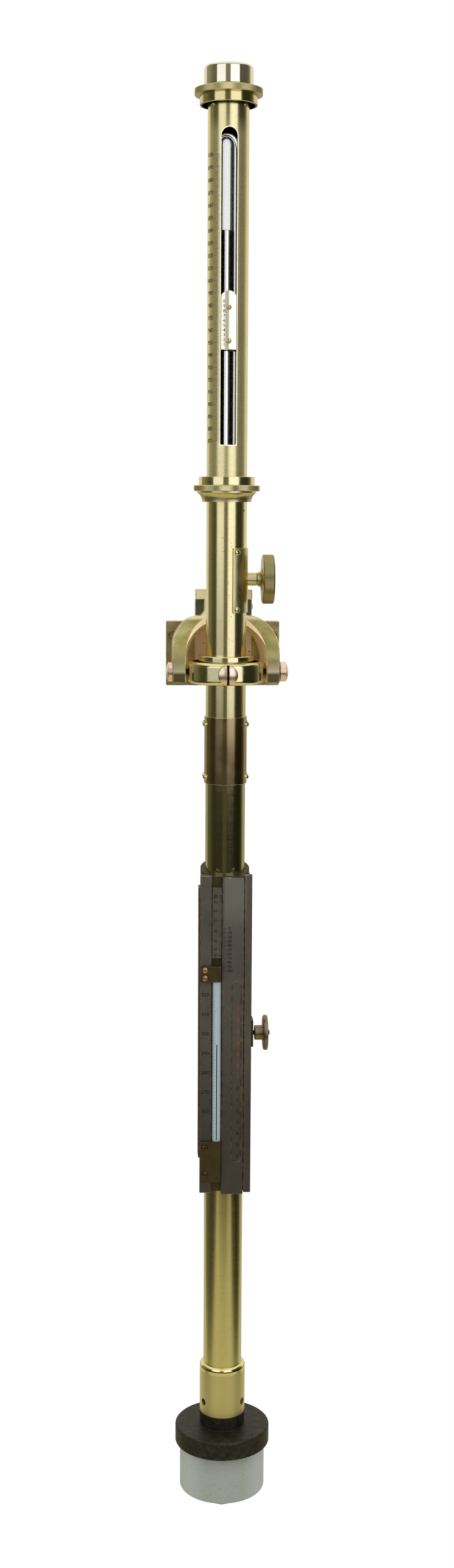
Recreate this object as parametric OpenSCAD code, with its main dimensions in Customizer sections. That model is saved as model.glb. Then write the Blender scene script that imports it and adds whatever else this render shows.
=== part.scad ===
// Ship's barometer: a mercury tube in a slotted brass tube, hung in a gimbal from a wall bracket,
// with a vernier, a sliding correction scale, a thermometer and a closed iron cistern.
// Millimetres. Origin at the centre of the wall plate's back face, +Z up, +Y into the wall.

/* [Wall plate and socket] */
// Width of the wall plate
plate_w = 73.0; // [68:0.5:90]
// Height of the wall plate
plate_h = 41.4; // [38:0.2:60]
// Thickness of the wall plate
plate_t = 6.0; // [4:0.2:8]
// Radius of the wall plate's corners
plate_corner_r = 0.8; // [0.4:0.1:5]
// Distance between the screw holes across
hole_dx = 62.8; // [56:0.2:64]
// Distance between the screw holes in height
hole_dz = 22.6; // [16:0.2:28]
// Radius of the wall screw holes
hole_r = 2.1; // [1.5:0.1:2.6]
// Width of the socket block on the plate
socket_w = 36.0; // [30:0.5:42]
// Depth of the socket block in front of the plate
socket_d = 9.0; // [8:0.1:12]
// Height of the socket block's top above the plate's centre
socket_top = 35.2; // [28:0.2:40]
// Width of the dovetail slot at its mouth
dovetail_w = 13.0; // [10:0.5:16]
// Depth of the dovetail slot
dovetail_d = 5.4; // [4:0.1:6.5]

/* [Suspension arm] */
// Distance from the wall to the barometer's axis
axis_d = 44.0; // [44:0.5:60]
// Height of the gimbal's pivots, from the plate's centre
pivot_z = -8.4; // [-14:0.1:-6]
// Inner radius of the arch
arch_r = 25.4; // [25:0.1:30]
// Width of each arm of the arch
arm_w = 7.9; // [6:0.1:10]
// Depth of the arms, front to back
arm_d = 14.0; // [10:0.5:18]
// Width of the neck over the arch
neck_w = 25.4; // [20:0.2:30]
// Thickness of the neck
neck_t = 3.8; // [3:0.1:4.5]
// Height of the bar on top of the socket
bar_h = 6.2; // [4:0.2:9]

/* [Gimbal] */
// Outer radius of the gimbal ring
ring_r = 24.0; // [23:0.1:24.4]
// Thickness of the gimbal ring
ring_t = 3.2; // [2.6:0.1:3.6]
// Height of the gimbal ring
ring_h = 13.9; // [11:0.1:16]
// Radius of the pivot journals
journal_r = 1.9; // [1.5:0.1:2.4]
// Radius of the pivot screws' heads
pivot_head_r = 6.1; // [5:0.1:6.6]
// Thickness of the pivot screws' heads
pivot_head_h = 4.4; // [3:0.1:5]
// Outer radius of the collar on the tube
collar_r = 17.4; // [16.5:0.1:18]
// Height of the collar above the pivots
collar_up = 10.5; // [8:0.5:12]
// Height of the collar below the pivots
collar_down = 7.0; // [5:0.5:9]

/* [Brass tube] */
// Outer radius of the brass tube
tube_r = 12.5; // [12.3:0.1:12.7]
// Wall of the brass tube
tube_wall = 1.2; // [0.8:0.1:1.4]
// Height of the brass tube's top
tube_top = 340.8; // [330:0.1:345]
// Width of the front slot
slot_w = 9.56; // [8:0.02:11]
// Width of the back slot
back_slot_w = 11.2; // [8:0.1:12]
// Height of the slots' square bottom
slot_bottom = 131.2; // [120:0.1:135]
// Height of the slots' round top
slot_top = 317.1; // [310:0.1:318]
// Outer radius of the cap
cap_r = 14.9; // [13.5:0.1:16]
// Height of the cap over its flange
cap_h = 14.4; // [10:0.1:18]
// Outer radius of the knurled flange under the cap
flange_r = 20.5; // [19:0.1:22]
// Height of the knurled flange under the cap
flange_h = 3.8; // [3:0.1:7]
// Outer radius of the skirt under the flange
skirt_r = 17.4; // [16:0.1:18.5]
// Length of the skirt under the flange
skirt_h = 5.7; // [2:0.1:6.5]

/* [Lower collar of the scale] */
// Height of the lower collar's top
mid_top = 112.0; // [105:0.1:114]
// Radius of its plain ring
mid_ring_r = 17.35; // [16:0.05:18.5]
// Height of its plain ring
mid_ring_h = 5.2; // [4:0.1:7]
// Radius of its knurled ring
mid_knurl_r = 20.4; // [19:0.1:22]
// Height of its knurled ring
mid_knurl_h = 3.5; // [2.5:0.1:5]
// Height of the cove under the knurled ring
cove_h = 6.6; // [4:0.1:9]

/* [Glass and mercury] */
// Outer radius of the glass tube
glass_r = 6.4; // [5.8:0.1:6.5]
// Radius of the glass tube's bore
bore_r = 3.5; // [3:0.1:3.8]
// Offset of the glass tube to the left of the brass tube's axis
glass_off = 1.2; // [0:0.1:1.6]
// Height of the glass tube's closed top
glass_top = 314.8; // [308:0.1:316]
// Height of the mercury in the glass tube
mercury_top = 259.6; // [200:0.1:290]

/* [Vernier] */
// Height of the vernier's lower edge, which is its reading edge
vernier_z = 187.8; // [184:0.1:200]
// Height of the vernier plate
vernier_h = 34.8; // [30:0.1:40]
// Gap between the vernier plate and the slot, each side
vernier_gap = 0.14; // [0.1:0.02:0.4]
// Height of the vernier knob's axis
vknob_z = 49.3; // [44:0.1:50]
// Radius of the vernier knob
vknob_r = 15.2; // [12:0.1:17]
// Thickness of the vernier knob
vknob_t = 7.2; // [5:0.1:9]
// Radius of the knobs' shafts
shaft_r = 2.0; // [1.6:0.1:2.3]
// Height of the curved plate round the vernier's shaft
saddle_h = 39.9; // [34:0.1:44]

/* [Name sleeve] */
// Height of the sleeve's top edge
sleeve_top = -36.2; // [-45:0.1:-34]
// Length of the sleeve
sleeve_h = 42.2; // [36:0.1:48]
// Wall of the sleeve
sleeve_t = 0.85; // [0.5:0.05:1.2]

/* [Correction scales] */
// Height of the top edge of the scales' body
unit_top = -135.6; // [-145:0.1:-130]
// Length of the scales' body
unit_h = 206.0; // [200:0.5:215]
// Width of the scales' body
unit_w = 31.0; // [30:0.2:34]
// Distance from the axis to the front of the body
unit_front = 17.6; // [17.4:0.1:18.2]
// Thickness of the fixed strips
strip_t = 3.0; // [2.4:0.1:3.6]
// Width of the left strip
strip_l_w = 7.15; // [6:0.05:8]
// Width of the right strip
strip_r_w = 4.6; // [3.5:0.1:5]
// Width of the moving correction slide
slide_w = 13.8; // [12.8:0.1:13.9]
// Thickness of the moving correction slide
slide_t = 2.5; // [2.2:0.1:2.8]
// Height of the latitude plate's lower edge
lat_z = -187.5; // [-188:0.1:-186]
// Height of the latitude plate
lat_h = 45.3; // [40:0.1:46]
// Length of the thermometer's dark thread
thread_h = 81.4; // [60:0.1:105]
// Radius of the thermometer's stem
stem_r = 2.95; // [2.4:0.05:3.0]
// Distance from the scales' top down to the upper clamp's lower edge
clamp_a_down = 66.9; // [65:0.1:68.5]
// Height of the upper clamp
clamp_a_h = 10.4; // [8:0.1:10.6]
// Distance from the scales' lower end up to the lower clamp's lower edge
clamp_b_up = 7.7; // [5.5:0.1:10]
// Height of the lower clamp
clamp_b_h = 26.8; // [22:0.1:30]
// Height of the slide knob's axis
sknob_z = -237.6; // [-244:0.1:-236]
// Radius of the slide knob
sknob_r = 11.1; // [9:0.1:13]
// Thickness of the slide knob's rim
sknob_t = 3.9; // [3:0.1:6]

/* [Cistern] */
// Height of the ferrule's lower edge
ferrule_z = -499.3; // [-504:0.1:-498]
// Height of the ferrule
ferrule_h = 34.0; // [28:0.1:40]
// Outer radius of the ferrule
ferrule_r = 14.85; // [14.2:0.05:16]
// Length of the cover's neck under the ferrule
neck_h = 9.3; // [7:0.1:12]
// Radius of the cover's flange
cover_r = 31.0; // [29.5:0.1:33]
// Height of the cover's flange
cover_h = 11.8; // [10:0.1:14]
// Outer radius of the cistern
cistern_r = 27.9; // [27:0.1:29]
// Height of the cistern's straight side
cistern_h = 32.0; // [28:0.5:40]
// Wall of the cistern
cistern_wall = 2.4; // [2:0.1:3]
// Depth of the cistern's cone-shaped underside
cone_h = 15.0; // [8:0.5:18]

/* [Hidden] */
$fn = 96;
// clearances
gap = 0.3;
run = 0.05;
rest_gap = 0.1;
// tube
tube_in = tube_r - tube_wall;
flange_z = tube_top - flange_h;
mid_knurl_z = mid_top - mid_ring_h - mid_knurl_h;
// socket and arm, measured along Y
block_y = -plate_t - socket_d;
tongue_gap = gap;
neck_y1 = block_y - gap;
neck_y0 = neck_y1 - neck_t;
bar_z = socket_top + rest_gap;
// the socket block ends behind the gimbal ring, clear of its back screw
socket_low = pivot_z - 2.0;
lock_y = block_y + 3.0;
lock_z = socket_top - 4.4;
lock_r = 1.5;
// the screw stops short of the arm's tongue
lock_reach = socket_w / 2 - dovetail_w / 2 - 1.3 - gap;
arch_z = pivot_z + 10;
shoulder_r = 18.8;
shoulder_x = arch_r + arm_w - shoulder_r;
shoulder_z = arch_z + 5;
shoulder_top = shoulder_z + shoulder_r;
arm_bottom = pivot_z - 6.5;
arm_out = arch_r + arm_w;
arch_draft = 2.5;
arch_drop = 3.6;
// gimbal
ring_in = ring_r - ring_t;
seat_y = ring_r - 0.4;
pin_gap = 0.3;
// rack and pinion of the vernier
vm = 0.8;
vn = 9;
v_pitch_r = vm * vn / 2;
v_back = 0.12;
v_rack_x = 6.4;
v_rack_w = 2.5;
v_rack_back = 6.4;
v_up = slot_top - (vernier_z + vernier_h) - 2.0;
v_down = vernier_z - slot_bottom - 2.6;
v_rack_low = vknob_z - v_up - 8;
vernier_w = slot_w - 2 * vernier_gap;
carrier_r = tube_in - gap;
carrier_in = carrier_r - 1.2;
// vernier knob, along X from the axis
boss_r = shaft_r + 2;
boss_out = 18.7;
hub_gap = gap;
vknob_x = 22.3;
// scales' body, in X, with Y measured forward of the axis
unit_bottom = unit_top - unit_h;
strip_l_x = -unit_w / 2 - 0.85;
strip_l_in = strip_l_x + strip_l_w;
stem_x = strip_l_in + gap + stem_r + 0.2;
slide_x = stem_x + stem_r + gap;
strip_r_in = slide_x + slide_w + gap;
slide_y = unit_front + gap;
slide_front = slide_y + slide_t;
strip_front = unit_front + strip_t;
side_up = 21.7;
side_down = 7.7;
slide_top = unit_top - 0.5;
slide_bottom = unit_bottom - 1.2;
low_pack_down = 60.0;
low_pack_h = 10.0;
recess_up = 20.0;
tongue_x = slide_x + 3.6;
tongue_w = 4.0;
tongue_d = 1.6;
lat_w = 6.1;
lat_x = strip_l_in + gap;
lat_t = 2.0;
stem_y = unit_front + 0.4;
clamp_a_z = unit_top - clamp_a_down;
clamp_b_z = unit_bottom + clamp_b_up;
stem_top = clamp_a_z + 4.0;
stem_low = clamp_b_z + 9.0;
stem_seat = stem_y + stem_r;
clamp_over = 0.7;
clamp_front = stem_seat + clamp_over + 0.9;
// rack and pinion of the slide
sm = 0.6;
sn = 10;
s_pitch_r = sm * sn / 2;
s_back = 0.1;
s_axis_y = unit_front - 0.2 - s_pitch_r - 0.2;
s_rack_x = slide_x + slide_w - 3.3;
s_rack_w = 2.8;
s_up = 47;
s_down = 17;
s_rack_n = floor((s_up + s_down + 12) / (PI * sm));
s_rack_low = sknob_z - s_up - 6;
s_shaft_r = 1.5;
sboss_out = unit_w / 2 + 2.2;
shub_x = sboss_out + 0.9;
sknob_x = 24.3;
// cistern
cover_z = ferrule_z - neck_h - cover_h;
cistern_in = cistern_r - cistern_wall;
cistern_z = cover_z - cistern_h;
well_h = 7.0;
bush_up = 2.0;
bush_h = 18.0;
level_z = cover_z + 1.0;
glass_low = cistern_z + 4.0;
floor_z = cistern_z + 2.0;
washer_t = 1.2;
pressure_angle = 25;

// Helpers

// the axis of the barometer is the local origin, and local +Y points to the wall
module on_axis() { translate([0, -axis_d, 0]) children(); }

// from here on local -Y is the front, so forward distances are negative
module ring_at(z0, z1, r_out, r_in) {
    difference() {
        translate([0, 0, z0]) cylinder(h = z1 - z0, r = r_out);
        translate([0, 0, z0 - 1]) cylinder(h = z1 - z0 + 2, r = r_in);
    }
}

module box(x0, x1, y0, y1, z0, z1) {
    translate([x0, y0, z0]) cube([x1 - x0, y1 - y0, z1 - z0]);
}

// a shape seen from the front, in X and Z, given depth from y0 to y1
module front_extrude(y0, y1) {
    translate([0, y1, 0]) rotate([90, 0, 0]) linear_extrude(height = y1 - y0) children();
}

// a domed screw head on a flat seat, pointing along +Z, with a sawn slot turned by a
module screw_head(r, h, dome, slot, a = 0) {
    big = (r * r + dome * dome) / (2 * dome);
    difference() {
        rotate_extrude() intersection() {
            square([r, h]);
            translate([0, h - big]) circle(r = big);
        }
        rotate([0, 0, a]) translate([-slot / 2, -r - 1, h - dome - 0.2]) cube([slot, 2 * r + 2, dome + 1]);
    }
}

// outline of a rack in X and Z: the teeth point to -X, z0 is the middle of its first tooth
function rack_teeth(m, n, r, z0, back, add, ded) = let (
    p = PI * m,
    t = p / 2 - back,
    k = tan(pressure_angle),
    w_tip = t / 2 - add * k,
    w_root = t / 2 + ded * k
) [for (i = [0:n - 1], q = [[ded, -w_root], [-add, -w_tip], [-add, w_tip], [ded, w_root]])
    [r + q[0], z0 + i * p + q[1]]];

function inv(a) = tan(a) * 180 / PI - a;

// outline of a pinion with its first tooth turned by a
function pinion_points(m, n, back, add, ded, turn) = let (
    r = m * n / 2,
    rb = r * cos(pressure_angle),
    half = (PI * m / 2 - back) / 2 / r * 180 / PI,
    top = r + add,
    flank = [for (s = [0:3]) let (
        q = rb + (top - rb) * s / 3,
        a = acos(min(1, rb / q))
    ) [q, half + inv(pressure_angle) - inv(a)]],
    base = flank[0][1]
) [for (i = [0:n - 1]) let (c = turn + i * 360 / n) each concat(
    [(r - ded) * [cos(c - base), sin(c - base)]],
    [for (s = [0:3]) flank[s][0] * [cos(c - flank[s][1]), sin(c - flank[s][1])]],
    [for (s = [3:-1:0]) flank[s][0] * [cos(c + flank[s][1]), sin(c + flank[s][1])]],
    [(r - ded) * [cos(c + base), sin(c + base)]])];

// a 2D shape in Y and Z given width along X
module side_extrude(x0, x1) {
    translate([x0, 0, 0]) rotate([90, 0, 90]) linear_extrude(height = x1 - x0) children();
}

// Wall bracket

module plate_outline() {
    w = plate_w / 2 - plate_corner_r;
    h = plate_h / 2 - plate_corner_r;
    square([plate_w, 2 * h], center = true);
    square([2 * w, plate_h], center = true);
    for (x = [-w, w], z = [-h, h]) translate([x, z]) circle(r = plate_corner_r);
}

module wall_plate() {
    sink_r = hole_r + 1.4;
    color("#B59A66") difference() {
        front_extrude(-plate_t, 0) plate_outline();
        for (x = [-hole_dx / 2, hole_dx / 2], z = [-hole_dz / 2, hole_dz / 2])
            translate([x, 0, z]) rotate([90, 0, 0]) {
                translate([0, 0, -1]) cylinder(h = plate_t + 2, r = hole_r);
                translate([0, 0, plate_t - 1.4]) cylinder(h = 1.4, r1 = hole_r, r2 = sink_r);
            }
    }
}

module dovetail_shape(w, d, extra) {
    polygon([[-w / 2 - extra, 0], [w / 2 + extra, 0], [w / 2 + d * 0.35 + extra, d], [-w / 2 - d * 0.35 - extra, d]]);
}

module socket_block() {
    color("#8F7A4C") difference() {
        box(-socket_w / 2, socket_w / 2, block_y, -plate_t, socket_low, socket_top);
        translate([0, block_y, socket_low - 1]) linear_extrude(height = socket_top - socket_low + 2) union() {
            dovetail_shape(dovetail_w, dovetail_d, 0);
            translate([-dovetail_w / 2, -1]) square([dovetail_w, 1.01]);
        }
        translate([socket_w / 2, lock_y, lock_z]) rotate([0, -90, 0]) cylinder(h = lock_reach + 1, r = lock_r);
    }
}

module lock_screw() {
    color("#B98F55") translate([socket_w / 2, lock_y, lock_z]) rotate([0, 90, 0]) union() {
        translate([0, 0, -lock_reach]) cylinder(h = lock_reach, r = lock_r);
        screw_head(2.2, 0.9, 0.4, 0.6, 20);
    }
}

// Suspension arm

module arch_front() {
    fillet = 4.2;
    difference() {
        union() {
            for (s = [-1, 1]) translate([s * shoulder_x, shoulder_z]) circle(r = shoulder_r);
            translate([-shoulder_x, shoulder_z]) square([2 * shoulder_x, shoulder_r]);
            translate([-arm_out, arm_bottom]) square([2 * arm_out, shoulder_z - arm_bottom]);
            translate([-neck_w / 2, shoulder_z]) square([neck_w, bar_z + 1 - shoulder_z]);
            for (s = [-1, 1]) translate([s * neck_w / 2, shoulder_top - 0.4]) difference() {
                translate([s > 0 ? -0.5 : -fillet, -1]) square([fillet + 0.5, fillet + 1]);
                translate([s * fillet, fillet]) circle(r = fillet);
            }
        }
    }
}

// the arch's opening narrows and drops towards the back, with the draft of the casting
module arch_opening(back) {
    f = arm_d / 2;
    over = 5;
    long = back + f;
    k = arch_draft / long;
    tilt = atan(arch_drop / long);
    translate([0, -f - over, arch_z + over * arch_drop / long]) rotate([-90 - tilt, 0, 0])
        cylinder(h = (long + 2 * over) / cos(tilt), r1 = arch_r + k * over, r2 = arch_r - arch_draft - k * over);
    translate([0, 0, arm_bottom - 1]) linear_extrude(height = arch_z - 1 - arm_bottom) polygon([
        [-arch_r - k * over, -f - over], [arch_r + k * over, -f - over],
        [arch_r - arch_draft - k * over, back + over], [k * over + arch_draft - arch_r, back + over]]);
}

// side outline of the arch in Y and Z, Y from the barometer's axis: it leans from the neck to the pivots
function arch_side(y0, y1) = let (f = arm_d / 2, n = 12, low = pivot_z + 8, lean = 32) concat(
    [[-f, arm_bottom], [f, arm_bottom]],
    [for (i = [0:n]) let (a = i * 90 / n) [f + (y1 - f) * sin(a), arm_bottom + 4 + 16 * (1 - cos(a))]],
    [[y1, bar_z + 1], [y0, bar_z + 1]],
    [for (i = [n:-1:0]) [-f + (y0 + f) * (1 - cos(i * 180 / n)) / 2, low + lean * i / n]]);

module suspension_arm() {
    y0 = neck_y0 + axis_d;
    y1 = neck_y1 + axis_d;
    tongue_low = pivot_z + ring_h / 2 + 6.6;
    color("#A98A52") difference() {
        union() {
            on_axis() difference() {
                intersection() {
                    front_extrude(-arm_d, y1 + 1) arch_front();
                    side_extrude(-arm_out - 1, arm_out + 1) polygon(arch_side(y0, y1));
                }
                arch_opening(y1);
            }
            box(-socket_w / 2, socket_w / 2, neck_y0, -plate_t - 0.6, bar_z, bar_z + bar_h);
            translate([0, block_y, tongue_low]) linear_extrude(height = bar_z + 1 - tongue_low) union() {
                translate([0, tongue_gap]) dovetail_shape(dovetail_w, dovetail_d - 2 * tongue_gap, -tongue_gap);
                translate([-dovetail_w / 2 + tongue_gap, -gap - 0.2]) square([dovetail_w - 2 * tongue_gap, 1]);
            }
        }
        on_axis() for (s = [-1, 1]) translate([s * (arch_r - 1), 0, pivot_z]) rotate([0, s * 90, 0])
            cylinder(h = arm_w + 2, r = journal_r + 1.1);
    }
}

module pivot_screw(head_at, thread_end, tip, head_h = pivot_head_h) {
    union() {
        translate([0, 0, tip]) cylinder(h = thread_end - tip, r = journal_r);
        translate([0, 0, thread_end]) cylinder(h = head_at - thread_end, r = journal_r + 1.1);
        translate([0, 0, head_at]) screw_head(pivot_head_r, head_h, 1.7, 1.1, 0);
    }
}

// the right screw has a longer head, and stands a little off the arch
module arm_pivot_screws() {
    color("#C48A6A") on_axis() for (s = [-1, 1]) translate([0, 0, pivot_z]) rotate([0, s * 90, 0])
        rotate([0, 0, 90]) pivot_screw(arm_out + (s > 0 ? 0.5 : 0), arch_r, ring_in + pin_gap,
            pivot_head_h + (s > 0 ? 1 : 0));
}

// Gimbal

module gimbal_ring() {
    color("#D9C27A") on_axis() difference() {
        translate([0, 0, pivot_z]) ring_at(-ring_h / 2, ring_h / 2, ring_r, ring_in);
        for (s = [-1, 1]) translate([s * (ring_in - 1), 0, pivot_z]) rotate([0, s * 90, 0])
            cylinder(h = ring_t + 2, r = journal_r + run);
        for (s = [-1, 1]) translate([0, s * (ring_in - 1), pivot_z]) rotate([s * -90, 0, 0])
            cylinder(h = ring_t + 2, r = journal_r + 1.1);
        for (s = [-1, 1]) translate([0, s * seat_y, pivot_z]) rotate([s * -90, 0, 0])
            cylinder(h = ring_t + 2, r = pivot_head_r);
    }
}

module ring_pivot_screws() {
    color("#C48A6A") on_axis() for (s = [-1, 1]) translate([0, 0, pivot_z]) rotate([s * -90, 0, 0])
        pivot_screw(seat_y, ring_in, tube_r + pin_gap);
}

// Brass tube and its collars

module slot_outline(w) {
    translate([-w / 2, slot_bottom]) square([w, slot_top - w / 2 - slot_bottom]);
    translate([0, slot_top - w / 2]) circle(r = w / 2);
}

module body_tube() {
    color("#B5AD6E") on_axis() difference() {
        ring_at(ferrule_z + bush_up, tube_top, tube_r, tube_in);
        front_extrude(-tube_r - 1, 0) slot_outline(slot_w);
        front_extrude(0, tube_r + 1) slot_outline(back_slot_w);
        translate([0, 0, vknob_z]) rotate([0, 90, 0]) cylinder(h = tube_r + 1, r = shaft_r + 0.4);
    }
}

module gimbal_collar() {
    color("#D9C27A") on_axis() difference() {
        ring_at(pivot_z - collar_down, pivot_z + collar_up, collar_r, tube_r);
        for (s = [-1, 1]) translate([0, s * (tube_r - 1), pivot_z]) rotate([s * -90, 0, 0])
            cylinder(h = collar_r - tube_r + 2, r = journal_r + run);
    }
}

module top_cap() {
    corner = 2.0;
    foot = 2.3;
    dome = 1.2;
    top = tube_top + cap_h;
    side = top - dome - corner;
    flat = cap_r - corner;
    big = (flat * flat + dome * dome) / (2 * dome);
    color("#DCC98A") on_axis() difference() {
        union() {
            translate([0, 0, tube_top + foot]) cylinder(h = side - tube_top - foot, r = cap_r);
            translate([0, 0, tube_top]) rotate_extrude() intersection() {
                union() {
                    square([cap_r - foot, foot]);
                    translate([cap_r - foot, foot]) circle(r = foot);
                }
                square([cap_r, foot]);
            }
            translate([0, 0, side]) rotate_extrude() intersection() {
                union() {
                    square([flat, corner]);
                    translate([flat, 0]) circle(r = corner);
                }
                square([cap_r, corner]);
            }
            intersection() {
                translate([0, 0, top - big]) sphere(r = big);
                translate([0, 0, top - dome - 0.01]) cylinder(h = dome + 1, r = flat);
            }
        }
        translate([0, 0, tube_top - 1]) cylinder(h = 8, r = tube_in - 0.4);
    }
}

module top_flange() {
    color("#B8A55E") on_axis() difference() {
        union() {
            translate([0, 0, flange_z]) cylinder(h = flange_h, r = flange_r);
            translate([0, 0, flange_z - skirt_h]) cylinder(h = skirt_h, r = skirt_r);
        }
        translate([0, 0, flange_z - skirt_h - 1]) cylinder(h = flange_h + skirt_h + 2, r = tube_r);
        translate([0, 0, flange_z - skirt_h - 1]) cylinder(h = skirt_h + 2, r = skirt_r - 1.3);
    }
}

module top_pegs() {
    color("#C9B06A") on_axis() for (a = [-128, -52, 52, 128])
        tube_screw(a, flange_z - skirt_h - 0.4, tube_r, 1.2, 1.0, 30);
}

module scale_ring() {
    color("#A08F55") on_axis() ring_at(mid_top - mid_ring_h, mid_top, mid_ring_r, tube_r);
}

module scale_collar() {
    cove_r = mid_knurl_r - 2.1;
    low_r = tube_r + 2.9;
    step = cove_r - low_r;
    foot = 0.6;
    rise = cove_h - 1 - foot;
    sweep = (step * step + rise * rise) / (2 * step);
    color("#A8975A") on_axis() union() {
        ring_at(mid_knurl_z, mid_knurl_z + mid_knurl_h, mid_knurl_r, tube_r);
        translate([0, 0, mid_knurl_z - cove_h]) rotate_extrude() difference() {
            translate([tube_r, 0]) square([cove_r - tube_r, cove_h]);
            translate([low_r + sweep, foot]) circle(r = sweep);
            translate([low_r, -1]) square([step + 1, foot + 1]);
        }
    }
}

// Name sleeve and the curved plate round the vernier's shaft

name_angles = [-108, -72, 72, 108];
name_heights = [sleeve_top - 4.9, sleeve_top - sleeve_h + 4.2];
name_screw_r = 1.75;

module name_sleeve() {
    color("#6E5638") on_axis() difference() {
        ring_at(sleeve_top - sleeve_h, sleeve_top, tube_r + sleeve_t, tube_r);
        for (a = name_angles, z = name_heights) rotate([0, 0, a]) translate([0, -tube_r - sleeve_t, z])
            rotate([90, 0, 0]) translate([0, 0, -2]) cylinder(h = 4, r = name_screw_r);
    }
}

module name_sleeve_screws() {
    color("#C9B57C") on_axis() for (a = name_angles, z = name_heights)
        tube_screw(a, z, tube_r, name_screw_r, 2.6, a + z);
}

saddle_angle = 75;
saddle_t = 0.9;
saddle_z = vknob_z - 20.6;
saddle_screw_angle = 62;
saddle_screw_z = [saddle_z + 2.2, saddle_z + saddle_h - 2.6];
saddle_screw_r = 1.85;

// a screw that clamps onto the round tube at angle a from the front
module tube_screw(a, z, r_in, r, h, turn) {
    rotate([0, 0, a]) translate([0, 0, z]) difference() {
        rotate([90, 0, 0]) translate([0, 0, r_in - 0.5]) screw_head(r, h + 0.5, h * 0.4, r * 0.28, turn);
        translate([0, 0, -2 * r]) cylinder(h = 4 * r, r = r_in);
    }
}

module shaft_saddle() {
    r_out = tube_r + saddle_t;
    color("#CDBB78") on_axis() difference() {
        union() {
            translate([0, 0, saddle_z]) rotate([0, 0, -saddle_angle])
                rotate_extrude(angle = 2 * saddle_angle) translate([tube_r, 0]) square([saddle_t, saddle_h]);
            difference() {
                translate([0, 0, vknob_z]) rotate([0, 90, 0]) cylinder(h = boss_out, r = boss_r);
                translate([0, 0, vknob_z - 10]) cylinder(h = 20, r = tube_r);
            }
        }
        translate([0, 0, vknob_z]) rotate([0, 90, 0]) cylinder(h = boss_out + 1, r = shaft_r + run);
        for (s = [-1, 1], z = saddle_screw_z) rotate([0, 0, 90 + s * saddle_screw_angle]) translate([0, 0, z])
            rotate([90, 0, 0]) cylinder(h = tube_r + 3, r = saddle_screw_r);
    }
}

module saddle_screws() {
    color("#D8C88A") on_axis() for (s = [-1, 1], z = saddle_screw_z)
        tube_screw(90 + s * saddle_screw_angle, z, tube_r, saddle_screw_r, saddle_t + 0.8, s * 40 + z);
}

// Glass, mercury and packings

module glass_tube() {
    bore_end = glass_top - 2.3 - bore_r;
    color("#DDE6E2", 0.4) on_axis() translate([-glass_off, 0, 0]) difference() {
        union() {
            translate([0, 0, glass_low]) cylinder(h = glass_top - glass_r - glass_low, r = glass_r);
            translate([0, 0, glass_top - glass_r]) sphere(r = glass_r);
        }
        translate([0, 0, glass_low - 1]) cylinder(h = bore_end - glass_low + 1, r = bore_r);
        translate([0, 0, bore_end]) sphere(r = bore_r);
    }
}

module mercury_column() {
    crown = 1.1;
    big = (bore_r * bore_r + crown * crown) / (2 * crown);
    color("#9A9CA0") on_axis() translate([-glass_off, 0, 0]) union() {
        translate([0, 0, glass_low]) cylinder(h = mercury_top - crown - glass_low, r = bore_r);
        intersection() {
            translate([0, 0, mercury_top - big]) sphere(r = big);
            translate([0, 0, mercury_top - crown]) cylinder(h = crown, r = bore_r);
        }
    }
}

// a disc that fills the brass tube round the glass
module packing_at(z0, z1) {
    difference() {
        translate([0, 0, z0]) cylinder(h = z1 - z0, r = tube_in);
        translate([-glass_off, 0, z0 - 1]) cylinder(h = z1 - z0 + 2, r = glass_r);
    }
}

module rack_way() {
    box(v_rack_x - gap, tube_r, v_pitch_r - 1.4, tube_r, -1000, 1000);
}

module upper_packing() {
    color("#A5825A") on_axis() difference() {
        packing_at(mid_knurl_z - 4, mid_knurl_z + 4);
        rack_way();
    }
}

module lower_packing() {
    color("#A5825A") on_axis() packing_at(unit_bottom - low_pack_down, unit_bottom - low_pack_down + low_pack_h);
}

// Body of the correction scales

module tongue_way(x, w, d, extra) {
    translate([x, -unit_front]) dovetail_shape(w, d, extra);
}

module scale_body() {
    y_back = 5.0;
    color("#4F4A40") on_axis() difference() {
        box(-unit_w / 2, unit_w / 2, -unit_front, -y_back, unit_bottom, unit_top);
        translate([0, 0, unit_bottom - 1]) cylinder(h = unit_h + 2, r = tube_r);
        translate([stem_x, -stem_y, stem_low]) cylinder(h = stem_top - stem_low, r = stem_r);
        translate([0, 0, unit_bottom - 1]) linear_extrude(height = unit_h + 2)
            translate([tongue_x, -unit_front]) union() {
                dovetail_shape(tongue_w, tongue_d + gap, gap);
                translate([-tongue_w / 2 - gap, -1]) square([tongue_w + 2 * gap, 1.01]);
            }
        box(s_rack_x - gap, s_rack_x + s_rack_w + gap, -unit_front - 1, -unit_front + 1.2,
            s_rack_low - s_down - 3, s_rack_low + s_rack_n * PI * sm + s_up + 3);
        translate([s_rack_x - gap, -s_axis_y, sknob_z]) rotate([0, 90, 0])
            cylinder(h = s_rack_w + 2 * gap, r = s_pitch_r + 0.5 + gap);
        translate([s_rack_x, -s_axis_y, sknob_z]) rotate([0, 90, 0]) cylinder(h = unit_w, r = s_shaft_r + 0.3);
    }
}

module body_clamp() {
    color("#6A5D48") on_axis() ring_at(unit_top, unit_top + 6.0, tube_r + 3.0, tube_r);
}

module left_strip() {
    color("#5E574B") on_axis() box(strip_l_x, strip_l_in, -strip_front, -unit_front, unit_bottom, unit_top + 1.0);
}

module right_strip() {
    color("#5E574B") on_axis() box(strip_r_in, strip_r_in + strip_r_w, -strip_front, -unit_front,
        unit_bottom, unit_top + 1.6);
}

module side_cover() {
    color("#6E624C") on_axis() box(-unit_w / 2 - 1.6, -unit_w / 2, -unit_front + 2.0, -5.0,
        unit_bottom + side_up, unit_top - side_down);
}

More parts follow.
